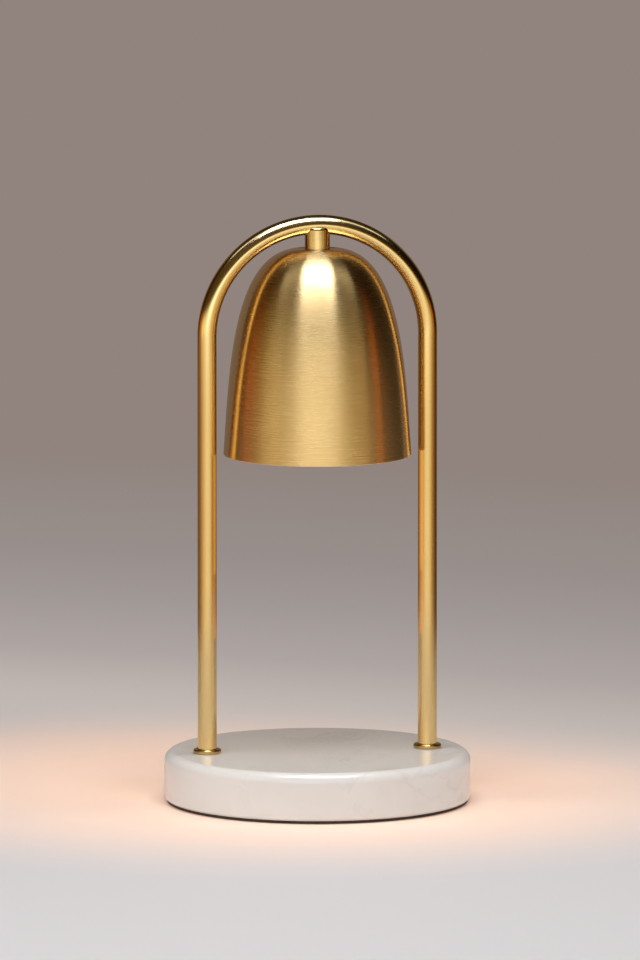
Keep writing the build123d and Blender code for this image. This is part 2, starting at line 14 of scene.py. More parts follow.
import bmesh
import bpy
import numpy as np
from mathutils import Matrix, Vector

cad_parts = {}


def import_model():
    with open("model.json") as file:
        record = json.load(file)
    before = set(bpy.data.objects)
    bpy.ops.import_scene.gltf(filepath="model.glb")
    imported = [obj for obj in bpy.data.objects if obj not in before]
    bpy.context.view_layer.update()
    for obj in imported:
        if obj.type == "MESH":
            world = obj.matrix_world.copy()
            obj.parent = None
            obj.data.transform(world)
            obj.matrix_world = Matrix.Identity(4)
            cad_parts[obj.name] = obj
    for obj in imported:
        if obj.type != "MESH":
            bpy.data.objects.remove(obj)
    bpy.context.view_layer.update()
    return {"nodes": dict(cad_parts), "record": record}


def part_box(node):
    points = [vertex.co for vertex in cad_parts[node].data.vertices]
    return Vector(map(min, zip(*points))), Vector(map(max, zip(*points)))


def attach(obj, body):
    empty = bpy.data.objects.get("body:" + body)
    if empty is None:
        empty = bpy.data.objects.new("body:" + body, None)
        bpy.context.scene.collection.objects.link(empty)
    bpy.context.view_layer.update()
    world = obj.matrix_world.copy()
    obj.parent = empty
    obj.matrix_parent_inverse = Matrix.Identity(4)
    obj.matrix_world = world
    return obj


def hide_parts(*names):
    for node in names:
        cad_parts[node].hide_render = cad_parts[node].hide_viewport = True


LOG = logging.getLogger("candle_warmer")
MM = 0.001
UV_NAME = "along_and_across"
WELD = 1e-7                 # points nearer than this are one
THREAD_DEPTH_SHARE = 0.6    # of the pitch
THREAD_FLAT = 0.12          # of half a turn, at crest and root

Colour = tuple[float, float, float]
Point = tuple[float, float, float]
Span = tuple[float, float]
Stops = Sequence[tuple[float, Colour]]
Value = Union[bpy.types.NodeSocket, float, Sequence[float]]


class Body(Enum):
    """The frame's two moving bodies."""

    STAND = "stand"
    LAMP = "lamp"


class Slot(Enum):
    """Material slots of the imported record."""

    MARBLE = "white_marble"
    FOAM = "foam_rubber"
    SHADE_BRASS = "brushed_brass"
    TUBE_BRASS = "satin_brass_tube"
    POLISHED_BRASS = "polished_brass"
    TURNED_BRASS = "turned_brass"
    ZINC = "zinc_steel"
    NICKEL = "nickel"
    NYLON = "white_nylon"
    STEATITE = "steatite"
    CERAMIC = "lamp_ceramic"
    MIRROR = "mirror_glass"
    CLEAR_GLASS = "clear_glass"
    QUARTZ = "quartz"
    SILICONE = "silicone_lead"


class Head(Enum):
    """Shapes of a screw's slotted end."""

    PAN = "pan"
    SUNK = "sunk"
    GRUB = "grub"


class Grain(Enum):
    """Which way a metal's fine lines run over its surface."""

    AROUND = "around"
    ALONG = "along"


class Curve(Enum):
    """Ways from one end of a stretched value to the other, with Blender's names."""

    STRAIGHT = "LINEAR"
    SMOOTH = "SMOOTHSTEP"


# ------------------------------------------------------------------ surfaces


@dataclass
class Sheet:
    """A surface over two parameters.

    Rows follow the shape's profile or path, columns go round or across it.
    """

    points: np.ndarray
    wrap_rows: bool = True
    wrap_columns: bool = True

    def corners(self) -> np.ndarray:
        """Row and column steps of every quad's four corners, before they wrap round.

        Returns:
            Whole numbers in the shape (quads, 4, 2).
        """
        rows, columns = self.points.shape[:2]
        row, column = np.meshgrid(
            np.arange(rows - (not self.wrap_rows)),
            np.arange(columns - (not self.wrap_columns)),
            indexing="ij",
        )
        steps = ((0, 0), (0, 1), (1, 1), (1, 0))
        corners = [np.stack([row + down, column + across], -1) for down, across in steps]
        return np.stack(corners, 2).reshape(-1, 4, 2)

    def faces(self) -> np.ndarray:
        """Number the quads' corners.

        Returns:
            Vertex numbers, four to a row.
        """
        rows, columns = self.points.shape[:2]
        steps = self.corners()
        return (steps[..., 0] % rows) * columns + steps[..., 1] % columns

    def uv(self) -> np.ndarray:
        """Two lengths for each quad corner, in metres.

        The first is the distance gone across the columns where they lie widest apart, the second
        the mean distance gone down the rows. Both keep counting past the seam, so a pattern runs on
        over the last quad.

        Returns:
            Distances in the shape (quads * 4, 2).
        """
        around = np.linalg.norm(np.roll(self.points, -1, 1) - self.points, axis=2).max(0)
        along = np.linalg.norm(np.roll(self.points, -1, 0) - self.points, axis=2).mean(1)
        across = np.concatenate([[0.0], np.cumsum(around)])
        down = np.concatenate([[0.0], np.cumsum(along)])
        steps = self.corners().reshape(-1, 2)
        return np.stack([across[steps[:, 1]], down[steps[:, 0]]], 1)


def make_piece(name: str, sheets: Sequence[Sheet], sharp_deg: float = 40.0) -> bpy.types.Object:
    """Join sheets into one mesh whose seams and poles are closed and whose faces point outwards.

    Args:
        name: Name of the piece.
        sheets: Its surfaces.
        sharp_deg: Edges that turn by more than this stay crisp.

    Returns:
        The new object, at the origin.
    """
    starts = np.cumsum([0] + [sheet.points.shape[0] * sheet.points.shape[1] for sheet in sheets])
    faces = np.concatenate([sheet.faces() + start for sheet, start in zip(sheets, starts)])
    mesh = bpy.data.meshes.new(name)
    mesh.vertices.add(int(starts[-1]))
    mesh.vertices.foreach_set("co", np.concatenate([sheet.points.ravel() for sheet in sheets]))
    mesh.loops.add(faces.size)
    mesh.loops.foreach_set("vertex_index", faces.ravel())
    mesh.polygons.add(len(faces))
    mesh.polygons.foreach_set("loop_start", np.arange(0, faces.size, faces.shape[1]))
    mesh.update(calc_edges=True)
    layer = mesh.uv_layers.new(name=UV_NAME)
    layer.data.foreach_set("uv", np.concatenate([sheet.uv() for sheet in sheets]).ravel())
    work = bmesh.new()
    work.from_mesh(mesh)
    bmesh.ops.remove_doubles(work, verts=work.verts, dist=WELD)
    bmesh.ops.dissolve_degenerate(work, edges=work.edges, dist=WELD)
    bmesh.ops.recalc_face_normals(work, faces=work.faces)
    work.to_mesh(mesh)
    work.free()
    mesh.polygons.foreach_set("use_smooth", np.ones(len(mesh.polygons), bool))
    mesh.set_sharp_from_angle(angle=math.radians(sharp_deg))
    piece = bpy.data.objects.new(name, mesh)
    bpy.context.scene.collection.objects.link(piece)
    return piece


def upright_axis(low: Vector, high: Vector) -> Point:
    """Where the upright line through the middle of a box stands."""
    return (low.x + high.x) / 2, (low.y + high.y) / 2, 0.0


def compass(columns: int) -> np.ndarray:
    """Even steps of angle round the Z axis, from the back."""
    return np.linspace(0, 2 * np.pi, columns, endpoint=False) + np.pi / 2


def turned(radius: np.ndarray, height: np.ndarray, columns: int,
           centre: Point = (0, 0, 0)) -> np.ndarray:
    """Place rows of points round the Z axis.

    A point is (radius * cos(angle), radius * sin(angle), height) from the centre, with the seam at
    the back.

    Args:
        radius: Radii in the shape (rows, 1) or (rows, columns).
        height: Heights in either shape.
        columns: Steps round the axis.
        centre: Where the axis stands.

    Returns:
        Points in the shape (rows, columns, 3).
    """
    angle = compass(columns)[None]
    x, y, z = np.broadcast_arrays(radius * np.cos(angle), radius * np.sin(angle), height)
    return np.stack([x, y, z], -1) + np.array(centre)


def turned_profile(profile: np.ndarray, columns: int) -> np.ndarray:
    """Carry an outline of radii and heights round the Z axis."""
    return turned(profile[:, :1], profile[:, 1:], columns)


def threaded(radius: float, height: np.ndarray, pitch: float, columns: int) -> np.ndarray:
    """Radius of a rolled thread's outside.

    A turn's wave is the distance of height / pitch - angle / (2 * pi) from the nearest crest, as a
    share of half a turn. The radius falls by depth * wave, with flats at crest and root, and a cone
    at either end holds it back.

    Args:
        radius: Radius over the crests.
        height: Heights of the rows, in the shape (rows, 1).
        pitch: Height of one turn.
        columns: Steps round the axis.

    Returns:
        Radii in the shape (rows, columns).
    """
    depth = THREAD_DEPTH_SHARE * pitch
    turn = height / pitch - compass(columns)[None] / (2 * np.pi)
    wave = 1 - 2 * np.abs(turn % 1 - 0.5)
    cut = np.clip((wave - THREAD_FLAT) / (1 - 2 * THREAD_FLAT), 0, 1)
    from_end = np.minimum(height - height[0], height[-1] - height)
    return np.minimum(radius - depth * cut, radius - depth + from_end)


def swept(path: np.ndarray, outward: np.ndarray, side: np.ndarray, radius: float,
          columns: int) -> np.ndarray:
    """Carry a circle along a path.

    A point is path + radius * (cos(angle) * outward + sin(angle) * side).

    Args:
        path: Points of the path.
        outward: Unit vectors across the path, one for each point.
        side: Unit vectors square to both.
        radius: Radius of the circle.
        columns: Steps round it.

    Returns:
        Points in the shape (path points, columns, 3).
    """
    angle = np.linspace(0, 2 * np.pi, columns, endpoint=False)[None, :, None]
    across = np.cos(angle) * outward[:, None] + np.sin(angle) * side[:, None]
    return path[:, None] + radius * across


def spread(low: float, high: float, margin: float, count: int) -> np.ndarray:
    """Places spread evenly between two ends.

    Args:
        low: The lower end.
        high: The upper end.
        margin: How far the outermost places stay inside the ends.
        count: Number of places. A single one is in the middle.

    Returns:
        The places.
    """
    if count == 1:
        return np.array([(low + high) / 2])
    return np.linspace(low + margin, high - margin, count)


# ------------------------------------------------------------------ finishes

MIX_INPUTS = (0, 6, 7)      # share and two colours, among all sockets of the mixing node
MIX_OUTPUT = 2              # its colour
QUARTER_TURN = 0.25         # of a highlight's direction, in whole turns
NOISE_SPAN = (0.3, 0.7)     # what most values of a noise lie between
NOISE_MIDDLE = 0.5
HALF_WAY = 0.5              # of a ramp, where a new stop waits for its own place


class Recipe:
    """A material while it is written: a principled shader and the nodes that feed it."""

    def __init__(self, name: str) -> None:
        """Start from a bare principled shader.

        Args:
            name: Name of the material.
        """
        self.material = bpy.data.materials.new(name)
        self.material.use_nodes = True
        self.tree = self.material.node_tree
        self.shader = self.tree.nodes["Principled BSDF"]

    def feed(self, socket: bpy.types.NodeSocket, value: Value) -> None:
        """Link a socket to another, or set its own value.

        Args:
            socket: The input.
            value: Another node's output, or a number, a vector or a colour.
        """
        if isinstance(value, bpy.types.NodeSocket):
            self.tree.links.new(value, socket)
        elif socket.type == "RGBA":
            socket.default_value = (*value, 1.0)
        else:
            socket.default_value = value

    def node(self, kind: str, inputs: dict[Union[str, int], Value],
             **settings: object) -> bpy.types.Node:
        """Add a node.

        Args:
            kind: Blender's name of the node type.
            inputs: What each input takes, by name or number.
            **settings: The node's own settings.

        Returns:
            The new node.
        """
        node = self.tree.nodes.new(kind)
        for key, setting in settings.items():
            setattr(node, key, setting)
        for key, value in inputs.items():
            self.feed(node.inputs[key], value)
        return node

    def surface(self, **inputs: Value) -> None:
        """Set inputs of the principled shader, written with underscores for spaces."""
        for key, value in inputs.items():
            self.feed(self.shader.inputs[key.replace("_", " ")], value)

    def show(self, shader: bpy.types.NodeSocket) -> None:
        """Let the material show a shader instead of the bare principled one."""
        self.feed(self.tree.nodes["Material Output"].inputs["Surface"], shader)

    def place(self) -> bpy.types.NodeSocket:
        """Object coordinates."""
        return self.node("ShaderNodeTexCoord", {}).outputs["Object"]

    def distance(self, centre: Point) -> bpy.types.NodeSocket:
        """Distance from a centre."""
        inputs = {0: self.place(), 1: centre}
        return self.node("ShaderNodeVectorMath", inputs, operation="DISTANCE").outputs["Value"]

    def noise(self, vector: Value, size: float, detail: float = 3.0, rough: float = 0.55,
              warp: float = 0.0) -> bpy.types.NodeSocket:
        """Fractal noise from 0 to 1 over a vector.

        Args:
            vector: Where the noise is read.
            size: Length of its coarsest waves.
            detail: Number of finer waves laid over them.
            rough: How strong each finer wave is, as a share of the one before.
            warp: How far the waves are bent.

        Returns:
            The noise.
        """
        return self.node("ShaderNodeTexNoise", {
            "Vector": vector, "Scale": 1 / size, "Detail": detail, "Roughness": rough,
            "Distortion": warp,
        }).outputs["Fac"]

    def remap(self, value: Value, span: Span, to: Span,
              curve: Curve = Curve.STRAIGHT) -> bpy.types.NodeSocket:
        """Stretch a value from one span to another, held at its ends.

        Args:
            value: The value.
            span: Where it comes from.
            to: What both ends of that span become.
            curve: The way between the ends.

        Returns:
            The stretched value.
        """
        return self.node("ShaderNodeMapRange", {
            "Value": value, "From Min": span[0], "From Max": span[1], "To Min": to[0],
            "To Max": to[1],
        }, interpolation_type=curve.value).outputs["Result"]

    def maths(self, operation: str, *values: Value) -> bpy.types.NodeSocket:
        """One step of arithmetic on up to three values."""
        return self.node("ShaderNodeMath", dict(enumerate(values)), operation=operation).outputs[0]

    def blend(self, share: Value, first: Value, second: Value) -> bpy.types.NodeSocket:
        """A colour between two others, by the share of the second."""
        inputs = dict(zip(MIX_INPUTS, (share, first, second)))
        return self.node("ShaderNodeMix", inputs, data_type="RGBA").outputs[MIX_OUTPUT]

    def ramp(self, share: Value, stops: Stops, span: Span) -> bpy.types.NodeSocket:
        """A colour that goes from stop to stop.

        Args:
            share: How far along the span, from 0 to 1.
            stops: Places in the span, each with its colour.
            span: Where the ramp starts and ends.

        Returns:
            The colour.
        """
        ramp = self.node("ShaderNodeValToRGB", {"Fac": share})
        elements = ramp.color_ramp.elements
        while len(elements) < len(stops):
            elements.new(HALF_WAY)
        for element, (place, colour) in zip(elements, stops):
            element.position = (place - span[0]) / (span[1] - span[0])
            element.color = (*colour, 1.0)
        return ramp.outputs["Color"]

    def relief(self, height: Value, depth: float) -> bpy.types.NodeSocket:
        """A normal bent by a height, whose full range is a depth in metres."""
        return self.node("ShaderNodeBump", {"Height": height, "Distance": depth}).outputs["Normal"]

    def glowing(self, colour: Value) -> bpy.types.NodeSocket:
        """A shader that gives off a colour as it is written."""
        return self.node("ShaderNodeEmission", {"Color": colour}).outputs["Emission"]

    def either(self, share: Value, first: Value, second: Value) -> bpy.types.NodeSocket:
        """A shader between two others, by the share of the second."""
        inputs = dict(enumerate((share, first, second)))
        return self.node("ShaderNodeMixShader", inputs).outputs["Shader"]


@dataclass(frozen=True)
class BrushedMetal:
    """Metal with fine lines from spinning or drawing.

    The lines are noise that is stretched along the grain. They shift colour, roughness and relief,
    and the highlight is drawn out square to them. Slow clouds shift colour and roughness too.
    """

    name: str
    colour: Colour
    deep: Colour
    roughness: float
    grain: Grain
    anisotropy: float
    line_pitch: float
    line_length: float
    line_depth: float
    tone_spread: float
    roughness_spread: float = 0.05
    cloud_size: float = 30 * MM
    cloud_tone_spread: float = 0.25
    tone_lines: Span = (0.3, 0.75)
    tone_clouds: Span = (0.35, 0.7)
    rough_by_lines: Span = (-0.5, 0.5)
    rough_by_clouds: Span = (-0.4, 0.4)

    def material(self) -> bpy.types.Material:
        """Write the node tree.

        Returns:
            The finished material.
        """
        recipe = Recipe(self.name)
        uv = recipe.node("ShaderNodeUVMap", {}, uv_map=UV_NAME).outputs["UV"]
        split = recipe.node("ShaderNodeSeparateXYZ", {"Vector": uv}).outputs
        turned_grain = self.grain is Grain.AROUND
        long_way, short_way = ("X", "Y") if turned_grain else ("Y", "X")
        drawn = recipe.node("ShaderNodeCombineXYZ", {
            "X": recipe.maths("MULTIPLY", split[long_way], 1 / self.line_length),
            "Y": recipe.maths("MULTIPLY", split[short_way], 1 / self.line_pitch),
        }).outputs["Vector"]
        lines = recipe.noise(drawn, 1.0, detail=4.0, rough=0.65)
        clouds = recipe.noise(recipe.place(), self.cloud_size, detail=2.0)
        tone = recipe.maths(
            "ADD", recipe.remap(lines, self.tone_lines, (0.0, self.tone_spread)),
            recipe.remap(clouds, self.tone_clouds, (0.0, self.cloud_tone_spread)),
        )
        rough = recipe.maths("ADD", recipe.remap(lines, NOISE_SPAN, self.rough_by_lines),
                             recipe.remap(clouds, NOISE_SPAN, self.rough_by_clouds))
        tangent = recipe.node("ShaderNodeTangent", {}, direction_type="UV_MAP", uv_map=UV_NAME)
        recipe.surface(
            Base_Color=recipe.blend(tone, self.colour, self.deep),
            Metallic=1.0,
            Roughness=recipe.maths("MULTIPLY_ADD", rough, self.roughness_spread, self.roughness),
            Normal=recipe.relief(lines, self.line_depth),
            Anisotropic=self.anisotropy,
            Anisotropic_Rotation=QUARTER_TURN if turned_grain else 0.0,
            Tangent=tangent.outputs["Tangent"],
        )
        return recipe.material


@dataclass(frozen=True)
class WorkedMetal:
    """Turned, polished or plated metal, with faint cloudy wear and fine scratches."""

    name: str
    colour: Colour
    deep: Colour
    roughness: float
    coat: float = 0.0
    coat_roughness: float = 0.08
    roughness_spread: float = 0.06
    speck_size: float = 0.6 * MM
    cloud_size: float = 8 * MM
    scratch_depth: float = 0.0015 * MM
    tone_wear: Span = (0.15, 0.4)
    tone_spread: float = 0.8
    rough_wear: Span = (0.1, 0.4)

    def material(self) -> bpy.types.Material:
        """Write the node tree.

        Returns:
            The finished material.
        """
        recipe = Recipe(self.name)
        place = recipe.place()
        specks = recipe.noise(place, self.speck_size, detail=4.0, rough=0.6)
        clouds = recipe.noise(place, self.cloud_size, rough=0.5)
        wear = recipe.maths("MULTIPLY", specks, clouds)
        tone = recipe.remap(wear, self.tone_wear, (0.0, self.tone_spread))
        rough_span = (self.roughness, self.roughness + self.roughness_spread)
        recipe.surface(
            Base_Color=recipe.blend(tone, self.colour, self.deep),
            Metallic=1.0,
            Roughness=recipe.remap(wear, self.rough_wear, rough_span),
            Normal=recipe.relief(specks, self.scratch_depth),
            Coat_Weight=self.coat,
            Coat_Roughness=self.coat_roughness,
        )
        return recipe.material


@dataclass(frozen=True)
class Marble:
    """Polished white marble: soft grey clouds and a few thin wandering veins."""

    name: str = "white_marble_polished"
    ground: Colour = (0.795, 0.778, 0.758)
    cloud: Colour = (0.745, 0.725, 0.705)
    vein: Colour = (0.62, 0.605, 0.595)
    roughness: float = 0.22
    roughness_spread: float = 0.05
    bed_turn: Point = (0.5, 0.35, 0.8)
    bed_scale: Point = (1.0, 0.45, 1.0)
    cloud_size: float = 33 * MM
    cloud_span: Span = (0.38, 0.72)
    cloud_strength: float = 0.8
    vein_spacing: float = 55 * MM
    vein_width: float = 0.018
    patch_span: Span = (0.42, 0.62)
    vein_strength: float = 0.4
    grain_size: float = 0.7 * MM
    grain_depth: float = 0.004 * MM
    scatter: float = 0.12
    scatter_tint: Colour = (1.0, 0.9, 0.8)
    scatter_depth: float = 2.5 * MM
    coat: float = 0.25
    coat_roughness: float = 0.06

    def material(self) -> bpy.types.Material:
        """Write the node tree.

        A vein lies where a warped noise passes through its middle value: its strength is one minus
        the distance from there over the vein's width, and it comes and goes in patches.

        Returns:
            The finished material.
        """
        recipe = Recipe(self.name)
        place = recipe.place()
        bed = recipe.node("ShaderNodeMapping", {
            "Vector": place, "Rotation": self.bed_turn, "Scale": self.bed_scale,
        }).outputs["Vector"]
        clouds = recipe.noise(bed, self.cloud_size, detail=5.0, warp=0.6)
        wander = recipe.noise(bed, self.vein_spacing, detail=6.0, warp=1.3)
        off_middle = recipe.maths("ABSOLUTE", recipe.maths("SUBTRACT", wander, NOISE_MIDDLE))
        veins = recipe.remap(off_middle, (0.0, self.vein_width), (1.0, 0.0))
        patches = recipe.remap(recipe.noise(place, self.vein_spacing, detail=2.0), self.patch_span,
                               (0.0, self.vein_strength))
        grain = recipe.noise(place, self.grain_size, rough=0.6)
        cloudy = recipe.remap(clouds, self.cloud_span, (0.0, self.cloud_strength))
        body = recipe.blend(cloudy, self.ground, self.cloud)
        rough_span = (self.roughness, self.roughness + self.roughness_spread)
        recipe.surface(
            Base_Color=recipe.blend(recipe.maths("MULTIPLY", veins, patches), body, self.vein),
            Roughness=recipe.remap(grain, NOISE_SPAN, rough_span),
            Normal=recipe.relief(grain, self.grain_depth),
            Subsurface_Weight=self.scatter,
            Subsurface_Radius=self.scatter_tint,
            Subsurface_Scale=self.scatter_depth,
            Coat_Weight=self.coat,
            Coat_Roughness=self.coat_roughness,
        )
        return recipe.material


@dataclass(frozen=True)
class Moulded:
    """Plastic, rubber, foam or ceramic: a fine grain over slow changes of tone."""

    name: str
    colour: Colour
    shade: Colour
    roughness: float
    grain_size: float
    grain_depth: float = 0.01 * MM
    grain_span: Span = (0.25, 0.75)
    roughness_spread: float = 0.08
    tone_size: float = 9 * MM
    tone_share: Span = (0.2, 1.0)
    coat: float = 0.0
    coat_roughness: float = 0.1

    def material(self) -> bpy.types.Material:
        """Write the node tree.

        Returns:
            The finished material.
        """
        recipe = Recipe(self.name)
        place = recipe.place()
        grain = recipe.noise(place, self.grain_size, rough=0.6)
        tone = recipe.noise(place, self.tone_size, rough=0.5)
        mix = recipe.maths("MULTIPLY", recipe.remap(tone, NOISE_SPAN, self.tone_share), grain)
        rough_span = (self.roughness, self.roughness + self.roughness_spread)
        recipe.surface(
            Base_Color=recipe.blend(mix, self.colour, self.shade),
            Roughness=recipe.remap(grain, self.grain_span, rough_span),
            Normal=recipe.relief(grain, self.grain_depth),
            Coat_Weight=self.coat,
            Coat_Roughness=self.coat_roughness,
        )
        return recipe.material


@dataclass(frozen=True)
class LampGlass:
    """Glass of the lit lamp: clear and faintly rippled, with a warm glow."""

    name: str
    tint: Colour
    glow: Colour
    strength: float
    transmission: float
    roughness: float = 0.08
    roughness_spread: float = 0.06
    refraction: float = 1.47
    ripple_size: float = 1.6 * MM
    ripple_depth: float = 0.02 * MM
    glow_in_tint: float = 0.35
    tint_in_glow: float = 0.3

    def material(self) -> bpy.types.Material:
        """Write the node tree.

        Returns:
            The finished material.
        """
        recipe = Recipe(self.name)
        ripple = recipe.noise(recipe.place(), self.ripple_size, detail=2.0)
        in_tint = recipe.remap(ripple, NOISE_SPAN, (0.0, self.glow_in_tint))
        in_glow = recipe.remap(ripple, NOISE_SPAN, (0.0, self.tint_in_glow))
        rough_span = (self.roughness, self.roughness + self.roughness_spread)
        recipe.surface(
            Base_Color=recipe.blend(in_tint, self.tint, self.glow),
            Roughness=recipe.remap(ripple, NOISE_SPAN, rough_span),
            Transmission_Weight=self.transmission,
            IOR=self.refraction,
            Normal=recipe.relief(ripple, self.ripple_depth),
            Emission_Color=recipe.blend(in_glow, self.glow, self.tint),
            Emission_Strength=self.strength,
        )
        return recipe.material


Finish = Union[BrushedMetal, WorkedMetal, Marble, Moulded, LampGlass]

FINISHES: dict[Slot, Finish] = {
    Slot.MARBLE: Marble(),
    Slot.FOAM: Moulded(
        "foam_rubber_cells", (0.035, 0.032, 0.03), (0.012, 0.011, 0.01), roughness=0.75,
        grain_size=0.35 * MM, grain_depth=0.06 * MM,
    ),
    Slot.SHADE_BRASS: BrushedMetal(
        "spun_brass_brushed", (0.88, 0.645, 0.31), (0.76, 0.50, 0.19), roughness=0.28,
        grain=Grain.AROUND, anisotropy=1.0, line_pitch=0.28 * MM, line_length=20 * MM,
        line_depth=0.011 * MM, tone_spread=1.0,
    ),
    Slot.TUBE_BRASS: BrushedMetal(
        "drawn_brass_satin", (0.81, 0.59, 0.27), (0.72, 0.495, 0.20), roughness=0.17,
        grain=Grain.ALONG, anisotropy=0.2, line_pitch=0.8 * MM, line_length=40 * MM,
        line_depth=0.0003 * MM, tone_spread=0.15, roughness_spread=0.01,
    ),
    # painted shade: a darker copy of the brass, for the dim surroundings that these polished pieces
    # reflect
    Slot.POLISHED_BRASS: WorkedMetal(
        "polished_brass_painted_dark", (0.60, 0.43, 0.18), (0.42, 0.28, 0.10), roughness=0.13, coat=0.2,
    ),
    Slot.TURNED_BRASS: WorkedMetal(
        "turned_brass_bare", (0.78, 0.60, 0.30), (0.60, 0.42, 0.18), roughness=0.28,
    ),
    Slot.ZINC: WorkedMetal(
        "zinc_plated_steel", (0.62, 0.63, 0.66), (0.45, 0.46, 0.48), roughness=0.3,
    ),
    Slot.NICKEL: WorkedMetal(
        "nickel_plated_pin", (0.70, 0.67, 0.62), (0.52, 0.49, 0.45), roughness=0.2,
    ),
    Slot.NYLON: Moulded(
        "nylon_moulded", (0.80, 0.80, 0.77), (0.68, 0.68, 0.65), roughness=0.42,
        grain_size=0.4 * MM,
    ),
    Slot.STEATITE: Moulded(
        "steatite_pressed", (0.80, 0.77, 0.70), (0.66, 0.62, 0.54), roughness=0.55,
        grain_size=0.3 * MM, grain_depth=0.02 * MM,
    ),
    Slot.CERAMIC: Moulded(
        "ceramic_glazed", (0.84, 0.82, 0.78), (0.74, 0.72, 0.67), roughness=0.2,
        grain_size=0.9 * MM, grain_depth=0.006 * MM, coat=0.5,
    ),
    Slot.MIRROR: WorkedMetal(
        "mirrored_glass", (0.88, 0.87, 0.85), (0.74, 0.72, 0.70), roughness=0.1,
    ),
    Slot.CLEAR_GLASS: LampGlass(
        "lamp_front_glass_lit", (1.0, 0.95, 0.88), (1.0, 0.70, 0.38), strength=0.12,
        transmission=1.0,
    ),
    Slot.QUARTZ: LampGlass(
        "quartz_capsule_lit", (1.0, 0.94, 0.84), (1.0, 0.66, 0.32), strength=4.0,
        transmission=0.6,
    ),
    Slot.SILICONE: Moulded(
        "silicone_sleeve", (0.74, 0.73, 0.69), (0.62, 0.60, 0.56), roughness=0.5,
        grain_size=0.6 * MM,
    ),
}


class Dresser:
    """Keeps one material for each slot and puts it on pieces and CAD nodes."""

    def __init__(self) -> None:
        """Start with no material written."""
        self.materials: dict[Slot, bpy.types.Material] = {}

    def dress(self, piece: bpy.types.Object, slot: Slot) -> None:
        """Give an object the finish of a slot, over all its faces.

        Args:
            piece: The object.
            slot: The record's slot that it takes its finish from.
        """
        if slot not in self.materials:
            self.materials[slot] = FINISHES[slot].material()
        piece.data.materials.clear()
        piece.data.materials.append(self.materials[slot])

    def settle(self, piece: bpy.types.Object, body: Body, slot: Slot, node: str) -> None:
        """Dress a new piece and hand it to the frame.

        Args:
            piece: The finished piece.
            body: What it moves with.
            slot: The record's slot that it takes its finish from.
            node: The CAD node that it replaces.
        """
        self.dress(piece, slot)
        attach(piece, body.value)
        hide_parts(node)
        LOG.info("piece %s: %d faces, for %s", piece.name, len(piece.data.polygons), node)

    def dress_node(self, node: bpy.types.Object, slot: Slot) -> None:
        """Dress a CAD node."""
        self.dress(node, slot)
        LOG.info("node %s: %s", node.name, slot.value)


# ------------------------------------------------------------------ the lamp's sub-assemblies


@dataclass
class Arch:
    """The brass tube bent into an arch."""

    tube_radius: float = 5 * MM
    wall: float = 1 * MM
    leg_rows: int = 40
    crown_rows: int = 360
    columns: int = 64

    def path(self) -> tuple[np.ndarray, np.ndarray]:
        """Centreline of the tube and the direction out of the arch.

        The legs rise straight from their feet to the spring line, and the crown is a half circle
        about the middle of that line.

        Returns:
            Points, and as many unit vectors.
        """
        low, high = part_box("arch_tube")
        reach = (high.x - low.x) / 2 - self.tube_radius
        spring = high.z - self.tube_radius - reach
        rise = np.linspace(low.z, spring, self.leg_rows, endpoint=False)
        turn = np.linspace(np.pi, 0, self.crown_rows)
        out_x = np.concatenate([-np.ones_like(rise), np.cos(turn), np.ones_like(rise)])
        out_z = np.concatenate([0 * rise, np.sin(turn), 0 * rise])
        height = np.concatenate([rise, spring + reach * np.sin(turn), rise[::-1]])
        path = np.stack([reach * out_x, 0 * out_x, height], 1)
        return path, np.stack([out_x, 0 * out_x, out_z], 1)

    def build(self, dresser: Dresser) -> None:
        """Make the tube as one closed shell, out along its outside and back along its bore.

        Args:
            dresser: Gives the finish and hands the piece to the frame.
        """
        path, outward = self.path()
        side = np.broadcast_to(np.array([0.0, 1.0, 0.0]), path.shape)
        outside = swept(path, outward, side, self.tube_radius, self.columns)
        bore_radius = self.tube_radius - self.wall
        bore = swept(path[::-1], outward[::-1], side, bore_radius, self.columns)
        piece = make_piece("arch_pipe", [Sheet(np.concatenate([outside, bore]))])
        dresser.settle(piece, Body.STAND, Slot.TUBE_BRASS, "arch_tube")


